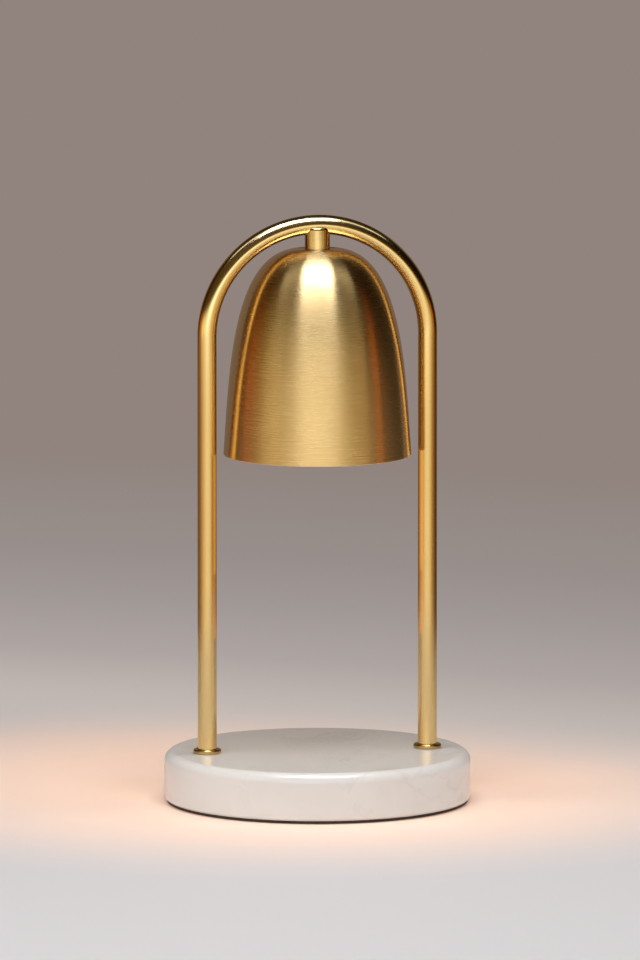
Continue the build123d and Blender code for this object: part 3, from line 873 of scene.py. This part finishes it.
@dataclass
class BellShade:
    """The spun bell, one closed skin of even wall."""

    wall: float = 1 * MM
    flat_radius: float = 9.6 * MM
    hole_radius: float = 5.2 * MM
    skirt_flare: float = 0.073
    crown_share: float = 0.916
    skirt_share: float = 0.39
    rim_round: float = 0.35 * MM
    rim_rows: int = 6
    rows: int = 110
    columns: int = 224

    def side(self, rim_radius: float, top: float, rim: float) -> np.ndarray:
        """Outline from the flat top to the rim.

        A cubic curve: it leaves the flat level, turns over the shoulder, and leans out to the rim.

        Args:
            rim_radius: Radius at the rim.
            top: Height of the flat.
            rim: Height of the rim.

        Returns:
            Radius and height of each point.
        """
        skirt = self.skirt_share * (top - rim)
        control = np.array([
            (self.flat_radius, top),
            (self.crown_share * rim_radius, top),
            (rim_radius - self.skirt_flare * skirt, rim + skirt),
            (rim_radius, rim),
        ])
        t = np.linspace(0, 1, self.rows)[:, None]
        weights = [(1 - t) ** 3, 3 * t * (1 - t) ** 2, 3 * t**2 * (1 - t), t**3]
        return np.concatenate(weights, 1) @ control

    def profile(self) -> np.ndarray:
        """Closed outline of the wall: down the outside, round the rim, up the inside.

        Returns:
            Radius and height of each point.
        """
        low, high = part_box("shade")
        radius = (high.x - low.x) / 2
        lip = low.z + self.rim_round
        outside = self.side(radius, high.z, low.z)
        inside = self.side(radius - self.wall, high.z - self.wall, low.z)[::-1]
        quarter = np.linspace(0, np.pi / 2, self.rim_rows)
        inset = self.rim_round * (1 - np.cos(quarter))
        height = lip - self.rim_round * np.sin(quarter)
        outer_turn = np.stack([radius - inset, height], 1)
        inner_turn = np.stack([radius - self.wall + inset, height], 1)[::-1]
        hole = np.array([(self.hole_radius, high.z - self.wall), (self.hole_radius, high.z)])
        return np.concatenate([
            outside[outside[:, 1] > lip], outer_turn, inner_turn, inside[inside[:, 1] > lip], hole,
        ])

    def build(self, dresser: Dresser) -> None:
        """Make the shade."""
        piece = make_piece("shade_shell", [Sheet(turned_profile(self.profile(), self.columns))])
        dresser.settle(piece, Body.STAND, Slot.SHADE_BRASS, "shade")


@dataclass
class ThreadedRod:
    """A hollow rod with a rolled thread from end to end."""

    name: str
    node: str
    slot: Slot
    bore_radius: float
    pitch: float = 1 * MM
    rows_per_turn: int = 10
    columns: int = 72

    def build(self, dresser: Dresser) -> None:
        """Make the rod as one closed shell, up its thread and down its bore.

        Args:
            dresser: Gives the finish and hands the piece to the frame.
        """
        low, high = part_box(self.node)
        centre = upright_axis(low, high)
        rows = round((high.z - low.z) / self.pitch * self.rows_per_turn) + 1
        height = np.linspace(low.z, high.z, rows)[:, None]
        radius = threaded((high.x - low.x) / 2, height, self.pitch, self.columns)
        outside = turned(radius, height, self.columns, centre)
        ends = np.array([[high.z], [low.z]])
        bore = turned(np.full_like(ends, self.bore_radius), ends, self.columns, centre)
        piece = make_piece(self.name, [Sheet(np.concatenate([outside, bore]))])
        dresser.settle(piece, Body.STAND, self.slot, self.node)


@dataclass
class HexNut:
    """A thin lamp nut with its corners turned off at both faces."""

    name: str
    node: str
    bore_radius: float
    sides: int = 6
    face_step: float = 0.3 * MM
    chamfer_deg: float = 30.0
    chamfer_rows: int = 9
    columns: int = 96
    sharp_deg: float = 25.0

    def build(self, dresser: Dresser) -> None:
        """Make the nut.

        Its sides lie at half_width / cos(angle from the nearest flat's middle) from the axis. A
        cone at each face, which starts a step inside the flats, turns the corners off.

        Args:
            dresser: Gives the finish and hands the piece to the frame.
        """
        low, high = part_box(self.node)
        half_width = (high.y - low.y) / 2
        corner = (high.x - low.x) / 2
        face_radius = half_width - self.face_step
        slope = math.tan(math.radians(self.chamfer_deg))
        inward = np.linspace(0, (corner - face_radius) * slope, self.chamfer_rows)
        height = np.concatenate([low.z + inward, high.z - inward[::-1]])[:, None]
        sector = 2 * np.pi / self.sides
        off_middle = compass(self.columns)[None] % sector - sector / 2
        from_face = np.minimum(height - low.z, high.z - height)
        side = np.minimum(half_width / np.cos(off_middle), face_radius + from_face / slope)
        bore = np.full((1, self.columns), self.bore_radius)
        radius = np.concatenate([bore, side, bore])
        height = np.concatenate([height[:1], height, height[-1:]])
        shell = Sheet(turned(radius, height, self.columns, upright_axis(low, high)))
        piece = make_piece(self.name, [shell], self.sharp_deg)
        dresser.settle(piece, Body.STAND, Slot.ZINC, self.node)


@dataclass
class Screws:
    """A set of like screws, each with a slotted end and a rolled thread.

    A screw is worked out with its slotted end at depth 0 and its tip at its length, and then stood
    at its place, with that end down or up.
    """

    name: str
    node: str
    head: Head
    shank_radius: float
    head_height: float
    places: tuple[int, int] = (2, 1)
    faces_down: bool = True
    pitch: float = 0.7 * MM
    slot_share: float = 0.2
    slot_depth_share: float = 0.45
    crown_share: float = 0.3
    overlap: float = 0.05 * MM
    chords: int = 11
    steps: int = 25
    rows_per_turn: int = 8
    columns: int = 40

    def end_radius(self, low: Vector, high: Vector) -> float:
        """Radius of the slotted end.

        A sunk head is a cone of 45 degrees on the shank, and a pan head is as wide as the node.

        Args:
            low: Lower corner of the node's box.
            high: Its upper corner.

        Returns:
            The radius.
        """
        return {
            Head.SUNK: self.shank_radius + self.head_height,
            Head.PAN: (high.y - low.y) / 2,
            Head.GRUB: self.shank_radius,
        }[self.head]

    def end(self, radius: float) -> np.ndarray:
        """The slotted end, as closed loops that each run over a chord and back under it.

        At a distance r from the axis the top lies at crown * (r / radius)^4, or at the slot's depth
        between the slot's sides. The underside lies level, and under a sunk head at radius - r.

        Args:
            radius: The end's radius.

        Returns:
            Points in the shape (chords, points of a loop, 3).
        """
        half_slot = self.slot_share * radius
        outer = radius * np.cos(np.linspace(0, np.arccos(self.slot_share), self.chords))
        y = np.concatenate([-outer, [-half_slot, half_slot], outer[::-1]])[:, None]
        in_slot = np.isin(np.arange(len(y)), (self.chords, self.chords + 1))[:, None]
        x = np.sqrt(radius**2 - y**2) * np.linspace(-1, 1, self.steps)[None]
        share = np.hypot(x, y) / radius
        under = np.full_like(share, self.head_height)
        crown = self.crown_share * self.head_height
        if self.head is Head.SUNK:
            under = np.minimum(radius * (1 - share) + self.overlap, under)
            crown = 0.0
        top = np.where(in_slot, self.slot_depth_share * self.head_height, crown * share**4)
        top = np.minimum(top, under - self.overlap / 2)
        over = np.stack([x, y + 0 * x, top], -1)
        back = np.stack([x, y + 0 * x, under], -1)[:, ::-1]
        return np.concatenate([over, back], 1)

    def shank(self, length: float) -> np.ndarray:
        """The threaded shank, from within the head to the tip, with both ends closed.

        Args:
            length: Length of the whole screw.

        Returns:
            Points in the shape (rows, columns, 3).
        """
        start = self.head_height - self.overlap
        rows = round((length - start) / self.pitch * self.rows_per_turn) + 1
        depth = np.linspace(start, length, rows)[:, None]
        radius = threaded(self.shank_radius, depth, self.pitch, self.columns)
        pole = np.zeros((1, self.columns))
        return turned(np.concatenate([pole, radius, pole]),
                      np.concatenate([depth[:1], depth, depth[-1:]]), self.columns)

    def build(self, dresser: Dresser) -> None:
        """Make all screws of the set, spread evenly over the node's box.

        Args:
            dresser: Gives the finish and hands the piece to the frame.
        """
        low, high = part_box(self.node)
        radius = self.end_radius(low, high)
        across = spread(low.x, high.x, radius, self.places[0])
        along = spread(low.y, high.y, radius, self.places[1])
        face, way = (low.z, 1.0) if self.faces_down else (high.z, -1.0)
        stand = np.array([1.0, 1.0, way])
        parts = (self.end(radius), self.shank(high.z - low.z))
        sheets = [
            Sheet(part * stand + np.array([x, y, face]), wrap_rows=False)
            for x in across for y in along for part in parts
        ]
        dresser.settle(make_piece(self.name, sheets), Body.STAND, Slot.ZINC, self.node)


@dataclass
class Reflector:
    """The lamp's glass bowl, pressed in staggered rows of facets on its mirrored inside."""

    wall: float = 1.5 * MM
    rim_height: float = 4 * MM
    bowl_lean: float = 0.18
    waist_radius: float = 12.2 * MM
    throat_radius: float = 9.1 * MM
    throat_height: float = 7.95 * MM
    hole_radius: float = 6.45 * MM
    outside_rows: int = 28
    facet_depth: float = 0.3 * MM
    facet_rows: int = 9
    rows_per_facet: int = 8
    facets_round: int = 22
    columns_per_facet: int = 10
    sharp_deg: float = 30.0

    def bowl(self, inset: float, rim: float, waist: float,
             rows: int) -> tuple[np.ndarray, np.ndarray]:
        """Arc from the rim up to the waist, and the way into the bowl at each of its points.

        The arc starts along the leaning side. Its centre lies on the inward normal there, at
        chord squared / (2 * chord along that normal).

        Args:
            inset: How far the arc is drawn in from the bowl's outside.
            rim: Radius of the bowl's outside at its rim.
            waist: Height of the waist.
            rows: Points on the arc.

        Returns:
            Radius and height of each point, and as many unit vectors.
        """
        low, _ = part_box("lamp_reflector")
        start = np.array([rim - inset, low.z + self.rim_height])
        end = np.array([self.waist_radius - inset, waist - inset])
        normal = np.array([-1.0, -self.bowl_lean]) / math.hypot(1.0, self.bowl_lean)
        chord = end - start
        centre = start + normal * (chord @ chord) / (2 * (chord @ normal))
        first = np.arctan2(start[1] - centre[1], start[0] - centre[0])
        last = np.arctan2(end[1] - centre[1], end[0] - centre[0])
        angle = np.linspace(first, last, rows)[:, None]
        inward = -np.concatenate([np.cos(angle), np.sin(angle)], 1)
        return centre - inward * np.linalg.norm(start - centre), inward

    def facets(self, rows: int, columns: int) -> np.ndarray:
        """How far the facets swell into the bowl.

        With u and v the place within a facet, from 0 to 1 along and round the bowl, the swell is
        depth * (1 - (2u - 1)^2) * (1 - (2v - 1)^2). Every other row is shifted by half a facet.

        Args:
            rows: Rows along the bowl.
            columns: Columns round it.

        Returns:
            Lengths in the shape (rows, columns).
        """
        along = np.linspace(0, self.facet_rows, rows)[:, None]
        shift = 0.5 * (np.floor(np.minimum(along, self.facet_rows - 0.5)) % 2)
        around = np.arange(columns)[None] / self.columns_per_facet + shift
        swell_along = 1 - (2 * (along % 1) - 1) ** 2
        return self.facet_depth * swell_along * (1 - (2 * (around % 1) - 1) ** 2)

    def build(self, dresser: Dresser) -> None:
        """Make the bowl and its neck as one closed shell.

        Args:
            dresser: Gives the finish and hands the piece to the frame.
        """
        low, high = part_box("lamp_reflector")
        rim = (high.x - low.x) / 2
        waist = high.z - self.throat_height
        columns = self.facets_round * self.columns_per_facet
        rows = self.facet_rows * self.rows_per_facet + 1
        outside, _ = self.bowl(0.0, rim, waist, self.outside_rows)
        inside, inward = self.bowl(self.wall, rim, waist, rows)
        swell = self.facets(rows, columns)
        radius = inside[:, :1] + inward[:, :1] * swell
        height = inside[:, 1:] + inward[:, 1:] * swell
        mirror = turned(radius, height, columns)[::-1]
        foot = np.array([(rim - self.wall, low.z), (rim, low.z)])
        neck = np.array([
            (self.throat_radius, waist), (self.throat_radius, high.z), (self.hole_radius, high.z),
            (self.hole_radius, waist - self.wall),
        ])
        plain = turned_profile(np.concatenate([foot, outside, neck]), columns)
        shell = Sheet(np.concatenate([plain, mirror]))
        piece = make_piece("faceted_reflector", [shell], self.sharp_deg)
        dresser.settle(piece, Body.LAMP, Slot.MIRROR, "lamp_reflector")


RODS_AND_NUTS = (
    ThreadedRod("stem_rod", "stem_thread", Slot.ZINC, bore_radius=3.5 * MM),
    HexNut("stem_hex_nut", "stem_nut", bore_radius=5.05 * MM),
    ThreadedRod("left_leg_rod", "left_leg_thread", Slot.TURNED_BRASS, bore_radius=2.5 * MM),
    HexNut("left_leg_hex_nut", "left_leg_nut", bore_radius=4 * MM),
    ThreadedRod("right_leg_rod", "right_leg_thread", Slot.TURNED_BRASS, bore_radius=2.5 * MM),
    HexNut("right_leg_hex_nut", "right_leg_nut", bore_radius=4 * MM),
)
SCREW_SETS = (
    Screws("cover_slot_screws", "cover_screws", Head.SUNK, shank_radius=1.45 * MM,
           head_height=0.943 * MM, places=(2, 2)),
    Screws("block_slot_screw", "block_screw", Head.SUNK, shank_radius=1.1 * MM,
           head_height=0.715 * MM, places=(1, 1), pitch=0.5 * MM),
    Screws("way_slot_screws", "terminal_screws", Head.GRUB, shank_radius=1.2 * MM,
           head_height=1.4 * MM, places=(2, 2), faces_down=False, pitch=0.5 * MM),
    Screws("clamp_slot_screws", "clamp_screws", Head.PAN, shank_radius=1.5 * MM,
           head_height=1.9 * MM, faces_down=False),
    Screws("holder_slot_screws", "holder_screws", Head.PAN, shank_radius=1.45 * MM,
           head_height=1.9 * MM),
)


# ------------------------------------------------------------------ studio


@dataclass(frozen=True)
class Softbox:
    """A rectangular studio light, given by how bright its face is.

    A mirrored one is seen by reflections only, any other lights matt surfaces only.
    """

    name: str
    place: Point
    aim: Point
    width: float
    height: float
    brightness: float
    colour: Colour = (1.0, 1.0, 1.0)
    mirrored: bool = False

    def build(self) -> None:
        """Hang the light. Its power is brightness times pi times its area."""
        lamp = bpy.data.lights.new(self.name, "AREA")
        lamp.shape = "RECTANGLE"
        lamp.size, lamp.size_y = self.width, self.height
        lamp.energy = self.brightness * math.pi * self.width * self.height
        lamp.color = self.colour
        holder = bpy.data.objects.new(self.name, lamp)
        holder.location = self.place
        ahead = Vector(self.aim) - Vector(self.place)
        holder.rotation_euler = ahead.to_track_quat("-Z", "Y").to_euler()
        holder.visible_glossy = self.mirrored
        holder.visible_diffuse = not self.mirrored
        holder.visible_camera = False
        holder.visible_transmission = False
        bpy.context.scene.collection.objects.link(holder)


@dataclass(frozen=True)
class MirroredCard:
    """A glowing card that only reflections see. It stands upright and bends round the lamp.

    A band gives colours against the angle from where the card faces, left first. Each band has a
    height, and between two heights their bands blend.
    """

    name: str
    head: float
    bands: Sequence[tuple[float, Stops]]
    facing_deg: float
    half_turn_deg: float
    radius: float = 0.6
    columns: int = 97

    def colour(self, recipe: Recipe) -> bpy.types.NodeSocket:
        """Colour over the whole card.

        Args:
            recipe: The material that is written.

        Returns:
            The colour.
        """
        facing = recipe.node("ShaderNodeVectorRotate", {
            "Vector": recipe.place(), "Angle": -math.radians(self.facing_deg),
        }, rotation_type="Z_AXIS").outputs["Vector"]
        split = recipe.node("ShaderNodeSeparateXYZ", {"Vector": facing}).outputs
        angle = recipe.maths("ARCTAN2", split["X"], recipe.maths("MULTIPLY", split["Y"], -1.0))
        reach = math.radians(self.half_turn_deg)
        share = recipe.remap(angle, (-reach, reach), (0.0, 1.0))
        span = (-self.half_turn_deg, self.half_turn_deg)
        level, band = self.bands[0]
        colour = recipe.ramp(share, band, span)
        for next_level, band in self.bands[1:]:
            climb = recipe.remap(split["Z"], (level, next_level), (0.0, 1.0))
            colour = recipe.blend(climb, colour, recipe.ramp(share, band, span))
            level = next_level
        return colour

    def build(self) -> None:
        """Bend the card and light it.

        A point lies at the radius from the Z axis, at its angle from where the card faces.
        """
        angle = np.linspace(-self.half_turn_deg, self.half_turn_deg, self.columns)
        turn = np.radians(angle + self.facing_deg)
        ahead, aside = -self.radius * np.cos(turn), self.radius * np.sin(turn)
        height = np.array([0.0, self.head])[:, None]
        points = np.stack(np.broadcast_arrays(aside, ahead, height), -1)
        card = make_piece(self.name, [Sheet(points, wrap_rows=False, wrap_columns=False)])
        recipe = Recipe(self.name)
        recipe.show(recipe.glowing(self.colour(recipe)))
        card.data.materials.append(recipe.material)
        card.visible_camera = False
        card.visible_diffuse = False
        card.visible_shadow = False
        card.visible_transmission = False


# colours against the angle in degrees from where the card faces
FLOOR_AHEAD: Stops = (
    (-130, (0.15, 0.10, 0.065)), (-108, (0.20, 0.11, 0.055)), (-80, (0.39, 0.23, 0.11)),
    (-47, (0.76, 0.59, 0.36)), (-10, (1.06, 0.98, 0.80)), (22, (1.02, 0.92, 0.68)),
    (45, (0.72, 0.58, 0.36)), (60, (0.49, 0.31, 0.15)), (85, (0.22, 0.12, 0.04)),
    (110, (0.09, 0.05, 0.015)), (130, (0.07, 0.045, 0.02)),
)
ROOM_AHEAD: Stops = (
    (-130, (0.05, 0.04, 0.035)), (-118, (0.02, 0.01, 0.001)), (-108, (0.17, 0.045, 0.001)),
    (-98, (0.66, 0.135, 0.001)), (-88, (0.54, 0.20, 0.008)), (-78, (0.58, 0.38, 0.14)),
    (-64, (1.08, 0.93, 0.56)), (-48, (1.25, 1.16, 0.86)), (-45, (0.82, 0.75, 0.52)),
    (-42, (1.22, 1.15, 0.97)), (-28, (1.36, 1.31, 1.14)), (-12, (1.95, 1.98, 1.93)),
    (8, (1.95, 1.98, 1.93)), (22, (1.36, 1.31, 1.16)), (36, (1.06, 1.00, 0.77)),
    (47, (0.72, 0.58, 0.32)), (60, (0.74, 0.60, 0.31)), (70, (0.24, 0.18, 0.08)),
    (76, (0.50, 0.17, 0.015)), (83, (1.00, 0.24, 0.008)), (88, (0.12, 0.035, 0.003)),
    (104, (0.02, 0.012, 0.003)), (120, (0.02, 0.012, 0.003)), (130, (0.04, 0.03, 0.02)),
)
ROOM_ABOVE: Stops = (
    (-130, (0.05, 0.03, 0.02)), (-104, (0.03, 0.015, 0.004)), (-95, (0.02, 0.008, 0.001)),
    (-80, (0.08, 0.045, 0.01)), (-66, (0.07, 0.04, 0.012)), (-48, (0.08, 0.055, 0.015)),
    (-16, (0.09, 0.07, 0.03)), (12, (0.09, 0.07, 0.03)), (42, (0.03, 0.02, 0.006)),
    (60, (0.01, 0.005, 0.001)), (73, (0.01, 0.004, 0.001)), (87, (0.005, 0.002, 0.0)),
    (104, (0.01, 0.005, 0.001)), (130, (0.04, 0.028, 0.02)),
)
BACKDROP: Stops = ((-60, (0.20, 0.15, 0.12)), (60, (0.20, 0.15, 0.12)))
# painted falloff of light: floor colours against the distance in metres from its bright centre
FAR_FLOOR: Stops = (
    (2.15, (0.66, 0.59, 0.56)), (2.29, (0.56, 0.50, 0.465)), (2.48, (0.42, 0.375, 0.36)),
    (2.66, (0.355, 0.315, 0.300)), (2.83, (0.314, 0.275, 0.262)), (3.20, (0.283, 0.231, 0.209)),
)

CARDS = (
    MirroredCard("front_card", head=0.8, facing_deg=-9.2, half_turn_deg=130.0, bands=(
        (0.15, FLOOR_AHEAD), (0.20, ROOM_AHEAD), (0.26, ROOM_AHEAD), (0.34, ROOM_ABOVE),
    )),
    MirroredCard("back_card", head=0.6, facing_deg=170.8, half_turn_deg=50.0, bands=(
        (0.0, BACKDROP),
    )),
)


def leg_lamps() -> tuple[Softbox, ...]:
    """Small warm lamps between the legs, which only the legs' inner sides reflect.

    Returns:
        A glow and an ember below it for each leg.
    """
    off_middle = 30 * MM
    width = 26 * MM
    kinds = (  # name, place above the floor, height, brightness and colour
        ("glow", 150 * MM, 66 * MM, 0.50, (1.0, 0.52, 0.08)),
        ("ember", 100 * MM, 34 * MM, 0.32, (1.0, 0.32, 0.02)),
    )
    return tuple(
        Softbox(f"{side}_{name}", (way * off_middle, 0.0, above), (way, 0.0, above), width,
                height, brightness, colour, mirrored=True)
        for side, way in (("left", -1), ("right", 1))
        for name, above, height, brightness, colour in kinds
    )


LOW_AIM = (0, 0, 0.1)
TOP_AIM = (0, 0, 0.27)
LIGHTS = (
    Softbox("front_softbox", (-0.3, -1.5, 0.6), LOW_AIM, width=1.8, height=1.0, brightness=0.9),
    Softbox("left_softbox", (-1.3, -0.5, 0.6), LOW_AIM, width=0.8, height=0.8, brightness=3.4),
    Softbox("right_softbox", (1.3, -0.5, 0.6), LOW_AIM, width=0.8, height=0.8, brightness=3.1),
    Softbox("top_softbox", (-0.072, -0.444, 1.2), LOW_AIM, width=0.8, height=0.8, brightness=5.0),
    Softbox("top_mirrored", (-0.050, -0.32, 1.21), TOP_AIM, width=0.75, height=0.55,
            brightness=8.6, colour=(0.92, 1.0, 1.25), mirrored=True),
    Softbox("top_wings", (-0.030, -0.19, 1.30), TOP_AIM, width=2.3, height=0.3, brightness=1.2,
            mirrored=True),
    Softbox("lamp_light", (0, 0, 0.2135), (0, 0, 0), width=34 * MM, height=34 * MM,
            brightness=20.0, colour=(1.0, 0.81, 0.62)),
    *leg_lamps(),
)


@dataclass
class Studio:
    """Pale floor, soft lights, dim surroundings and the camera.

    The floor turns from a lit paper into its far colours, a painted falloff of light, over the
    distances `fade` from its bright centre, and all round the lamp over the distances `reach`.
    The lamp's warm glow, painted on it, ends over the distances `painted_glow_fade`.
    """

    floor_radius: float = 30.0
    floor_drop: float = 0.3 * MM
    floor_columns: int = 64
    floor_roughness: float = 0.6
    floor_gloss: float = 0.2
    wall_height: float = 9.0
    near_floor: Colour = (0.74, 0.72, 0.73)
    # painted light: the lamp's warm pool on the floor, as colour and as glow
    painted_glow_floor: Colour = (0.93, 0.70, 0.56)
    painted_glow_light: Colour = (0.24, 0.155, 0.125)
    fade_centre: Point = (-1.21, -1.65, 0.0)
    fade: Span = (2.14, 2.36)
    reach: Span = (0.8, 1.6)
    painted_glow_fade: Span = (0.10, 0.34)
    painted_glow_centre: Point = (0.0, 0.07, 0.0)
    surround: Colour = (0.025, 0.02, 0.016)
    azimuth_deg: float = -9.2
    elevation_deg: float = 8.2
    distance: float = 10.0
    lens_mm: float = 720.0
    clip: Span = (1.0, 100.0)
    aim_height: float = 168.7 * MM
    aim_right: float = 1.36 * MM

    def floor_paper(self) -> bpy.types.Material:
        """Write the floor's material.

        It is pale near the lamp and has a painted warm pool where the lamp's light would fall, in
        its colour and in the glow it gives off, and it darkens with the distance from its bright
        centre. The far part is a painted falloff of light, as bright as its colour to the camera,
        reflections and glass, however little light reaches it. From underneath the floor is clear.

        Returns:
            The finished material.
        """
        recipe = Recipe("floor_paper")
        from_bright = recipe.distance(self.fade_centre)
        fade = recipe.maths(
            "MAXIMUM", recipe.remap(from_bright, self.fade, (0.0, 1.0), Curve.SMOOTH),
            recipe.remap(recipe.distance((0, 0, 0)), self.reach, (0.0, 1.0), Curve.SMOOTH),
        )
        # share of the painted warm pool of the lamp's light, strongest at its centre
        glow = recipe.remap(recipe.distance(self.painted_glow_centre), self.painted_glow_fade, (1.0, 0.0),
                            Curve.SMOOTH)
        rays =recipe.node("ShaderNodeLightPath", {}).outputs
        in_picture = recipe.maths("MAXIMUM", rays["Is Camera Ray"], rays["Is Glossy Ray"])
        seen = recipe.maths("MAXIMUM", in_picture, rays["Is Transmission Ray"])
        recipe.surface(
            Base_Color=recipe.blend(glow, self.near_floor, self.painted_glow_floor),
            Roughness=self.floor_roughness,
            Specular_IOR_Level=self.floor_gloss,
            Emission_Color=self.painted_glow_light,
            Emission_Strength=recipe.maths("MULTIPLY", glow, seen),
        )
        # far part: a painted falloff of light that glows as its colour
        far_span = (FAR_FLOOR[0][0], FAR_FLOOR[-1][0])
        far_share = recipe.remap(from_bright, far_span, (0.0, 1.0))
        far = recipe.glowing(recipe.ramp(far_share, FAR_FLOOR, far_span))
        near = recipe.shader.outputs["BSDF"]
        lit = recipe.either(recipe.maths("MULTIPLY", fade, seen), near, far)
        behind = recipe.node("ShaderNodeNewGeometry", {}).outputs["Backfacing"]
        clear = recipe.node("ShaderNodeBsdfTransparent", {}).outputs["BSDF"]
        recipe.show(recipe.either(behind, lit, clear))
        return recipe.material

    def build_floor(self) -> None:
        """Lay a round floor, turned up into a wall at its far edge."""
        outline = np.array([
            (0.0, -self.floor_drop), (self.floor_radius, -self.floor_drop),
            (self.floor_radius, self.wall_height),
        ])
        points = turned_profile(outline, self.floor_columns)
        floor = make_piece("studio_floor", [Sheet(points, wrap_rows=False)])
        floor.data.flip_normals()
        floor.data.materials.append(self.floor_paper())

    def build_surround(self) -> None:
        """Give the world one even colour."""
        world = bpy.data.worlds.new("studio_surround")
        world.use_nodes = True
        world.node_tree.nodes["Background"].inputs["Color"].default_value = (*self.surround, 1.0)
        bpy.context.scene.world = world

    def build_camera(self) -> None:
        """Stand the camera far back, so that upright lines stay upright."""
        turn, rise = math.radians(self.azimuth_deg), math.radians(self.elevation_deg)
        back = Vector((math.sin(turn) * math.cos(rise), -math.cos(turn) * math.cos(rise),
                       math.sin(rise)))
        right = Vector((math.cos(turn), math.sin(turn), 0.0))
        aim = Vector((0, 0, self.aim_height)) + self.aim_right * right
        data = bpy.data.cameras.new("studio_camera")
        data.lens = self.lens_mm
        data.clip_start, data.clip_end = self.clip
        camera = bpy.data.objects.new("studio_camera", data)
        camera.location = aim + self.distance * back
        camera.rotation_euler = (-back).to_track_quat("-Z", "Y").to_euler()
        bpy.context.scene.collection.objects.link(camera)
        bpy.context.scene.camera = camera

    def build(self) -> None:
        """Set up everything round the object."""
        bpy.context.scene.view_settings.view_transform = "Standard"
        self.build_floor()
        self.build_surround()
        self.build_camera()
        for part in (*LIGHTS, *CARDS):
            part.build()
        LOG.info("studio: %d lights, %d cards", len(LIGHTS), len(CARDS))


# ------------------------------------------------------------------ main


def main() -> None:
    """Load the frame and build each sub-assembly in order."""
    logging.basicConfig(level=logging.INFO, format="%(message)s")
    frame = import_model()
    dresser = Dresser()
    for subpart in frame["record"]["subparts"]:
        dresser.dress_node(frame["nodes"][subpart["node"]], Slot(subpart["material_slot"]))
    for assembly in (Arch(), BellShade(), *RODS_AND_NUTS, *SCREW_SETS, Reflector()):
        assembly.build(dresser)
    Studio().build()


if __name__ == "__main__":
    main()
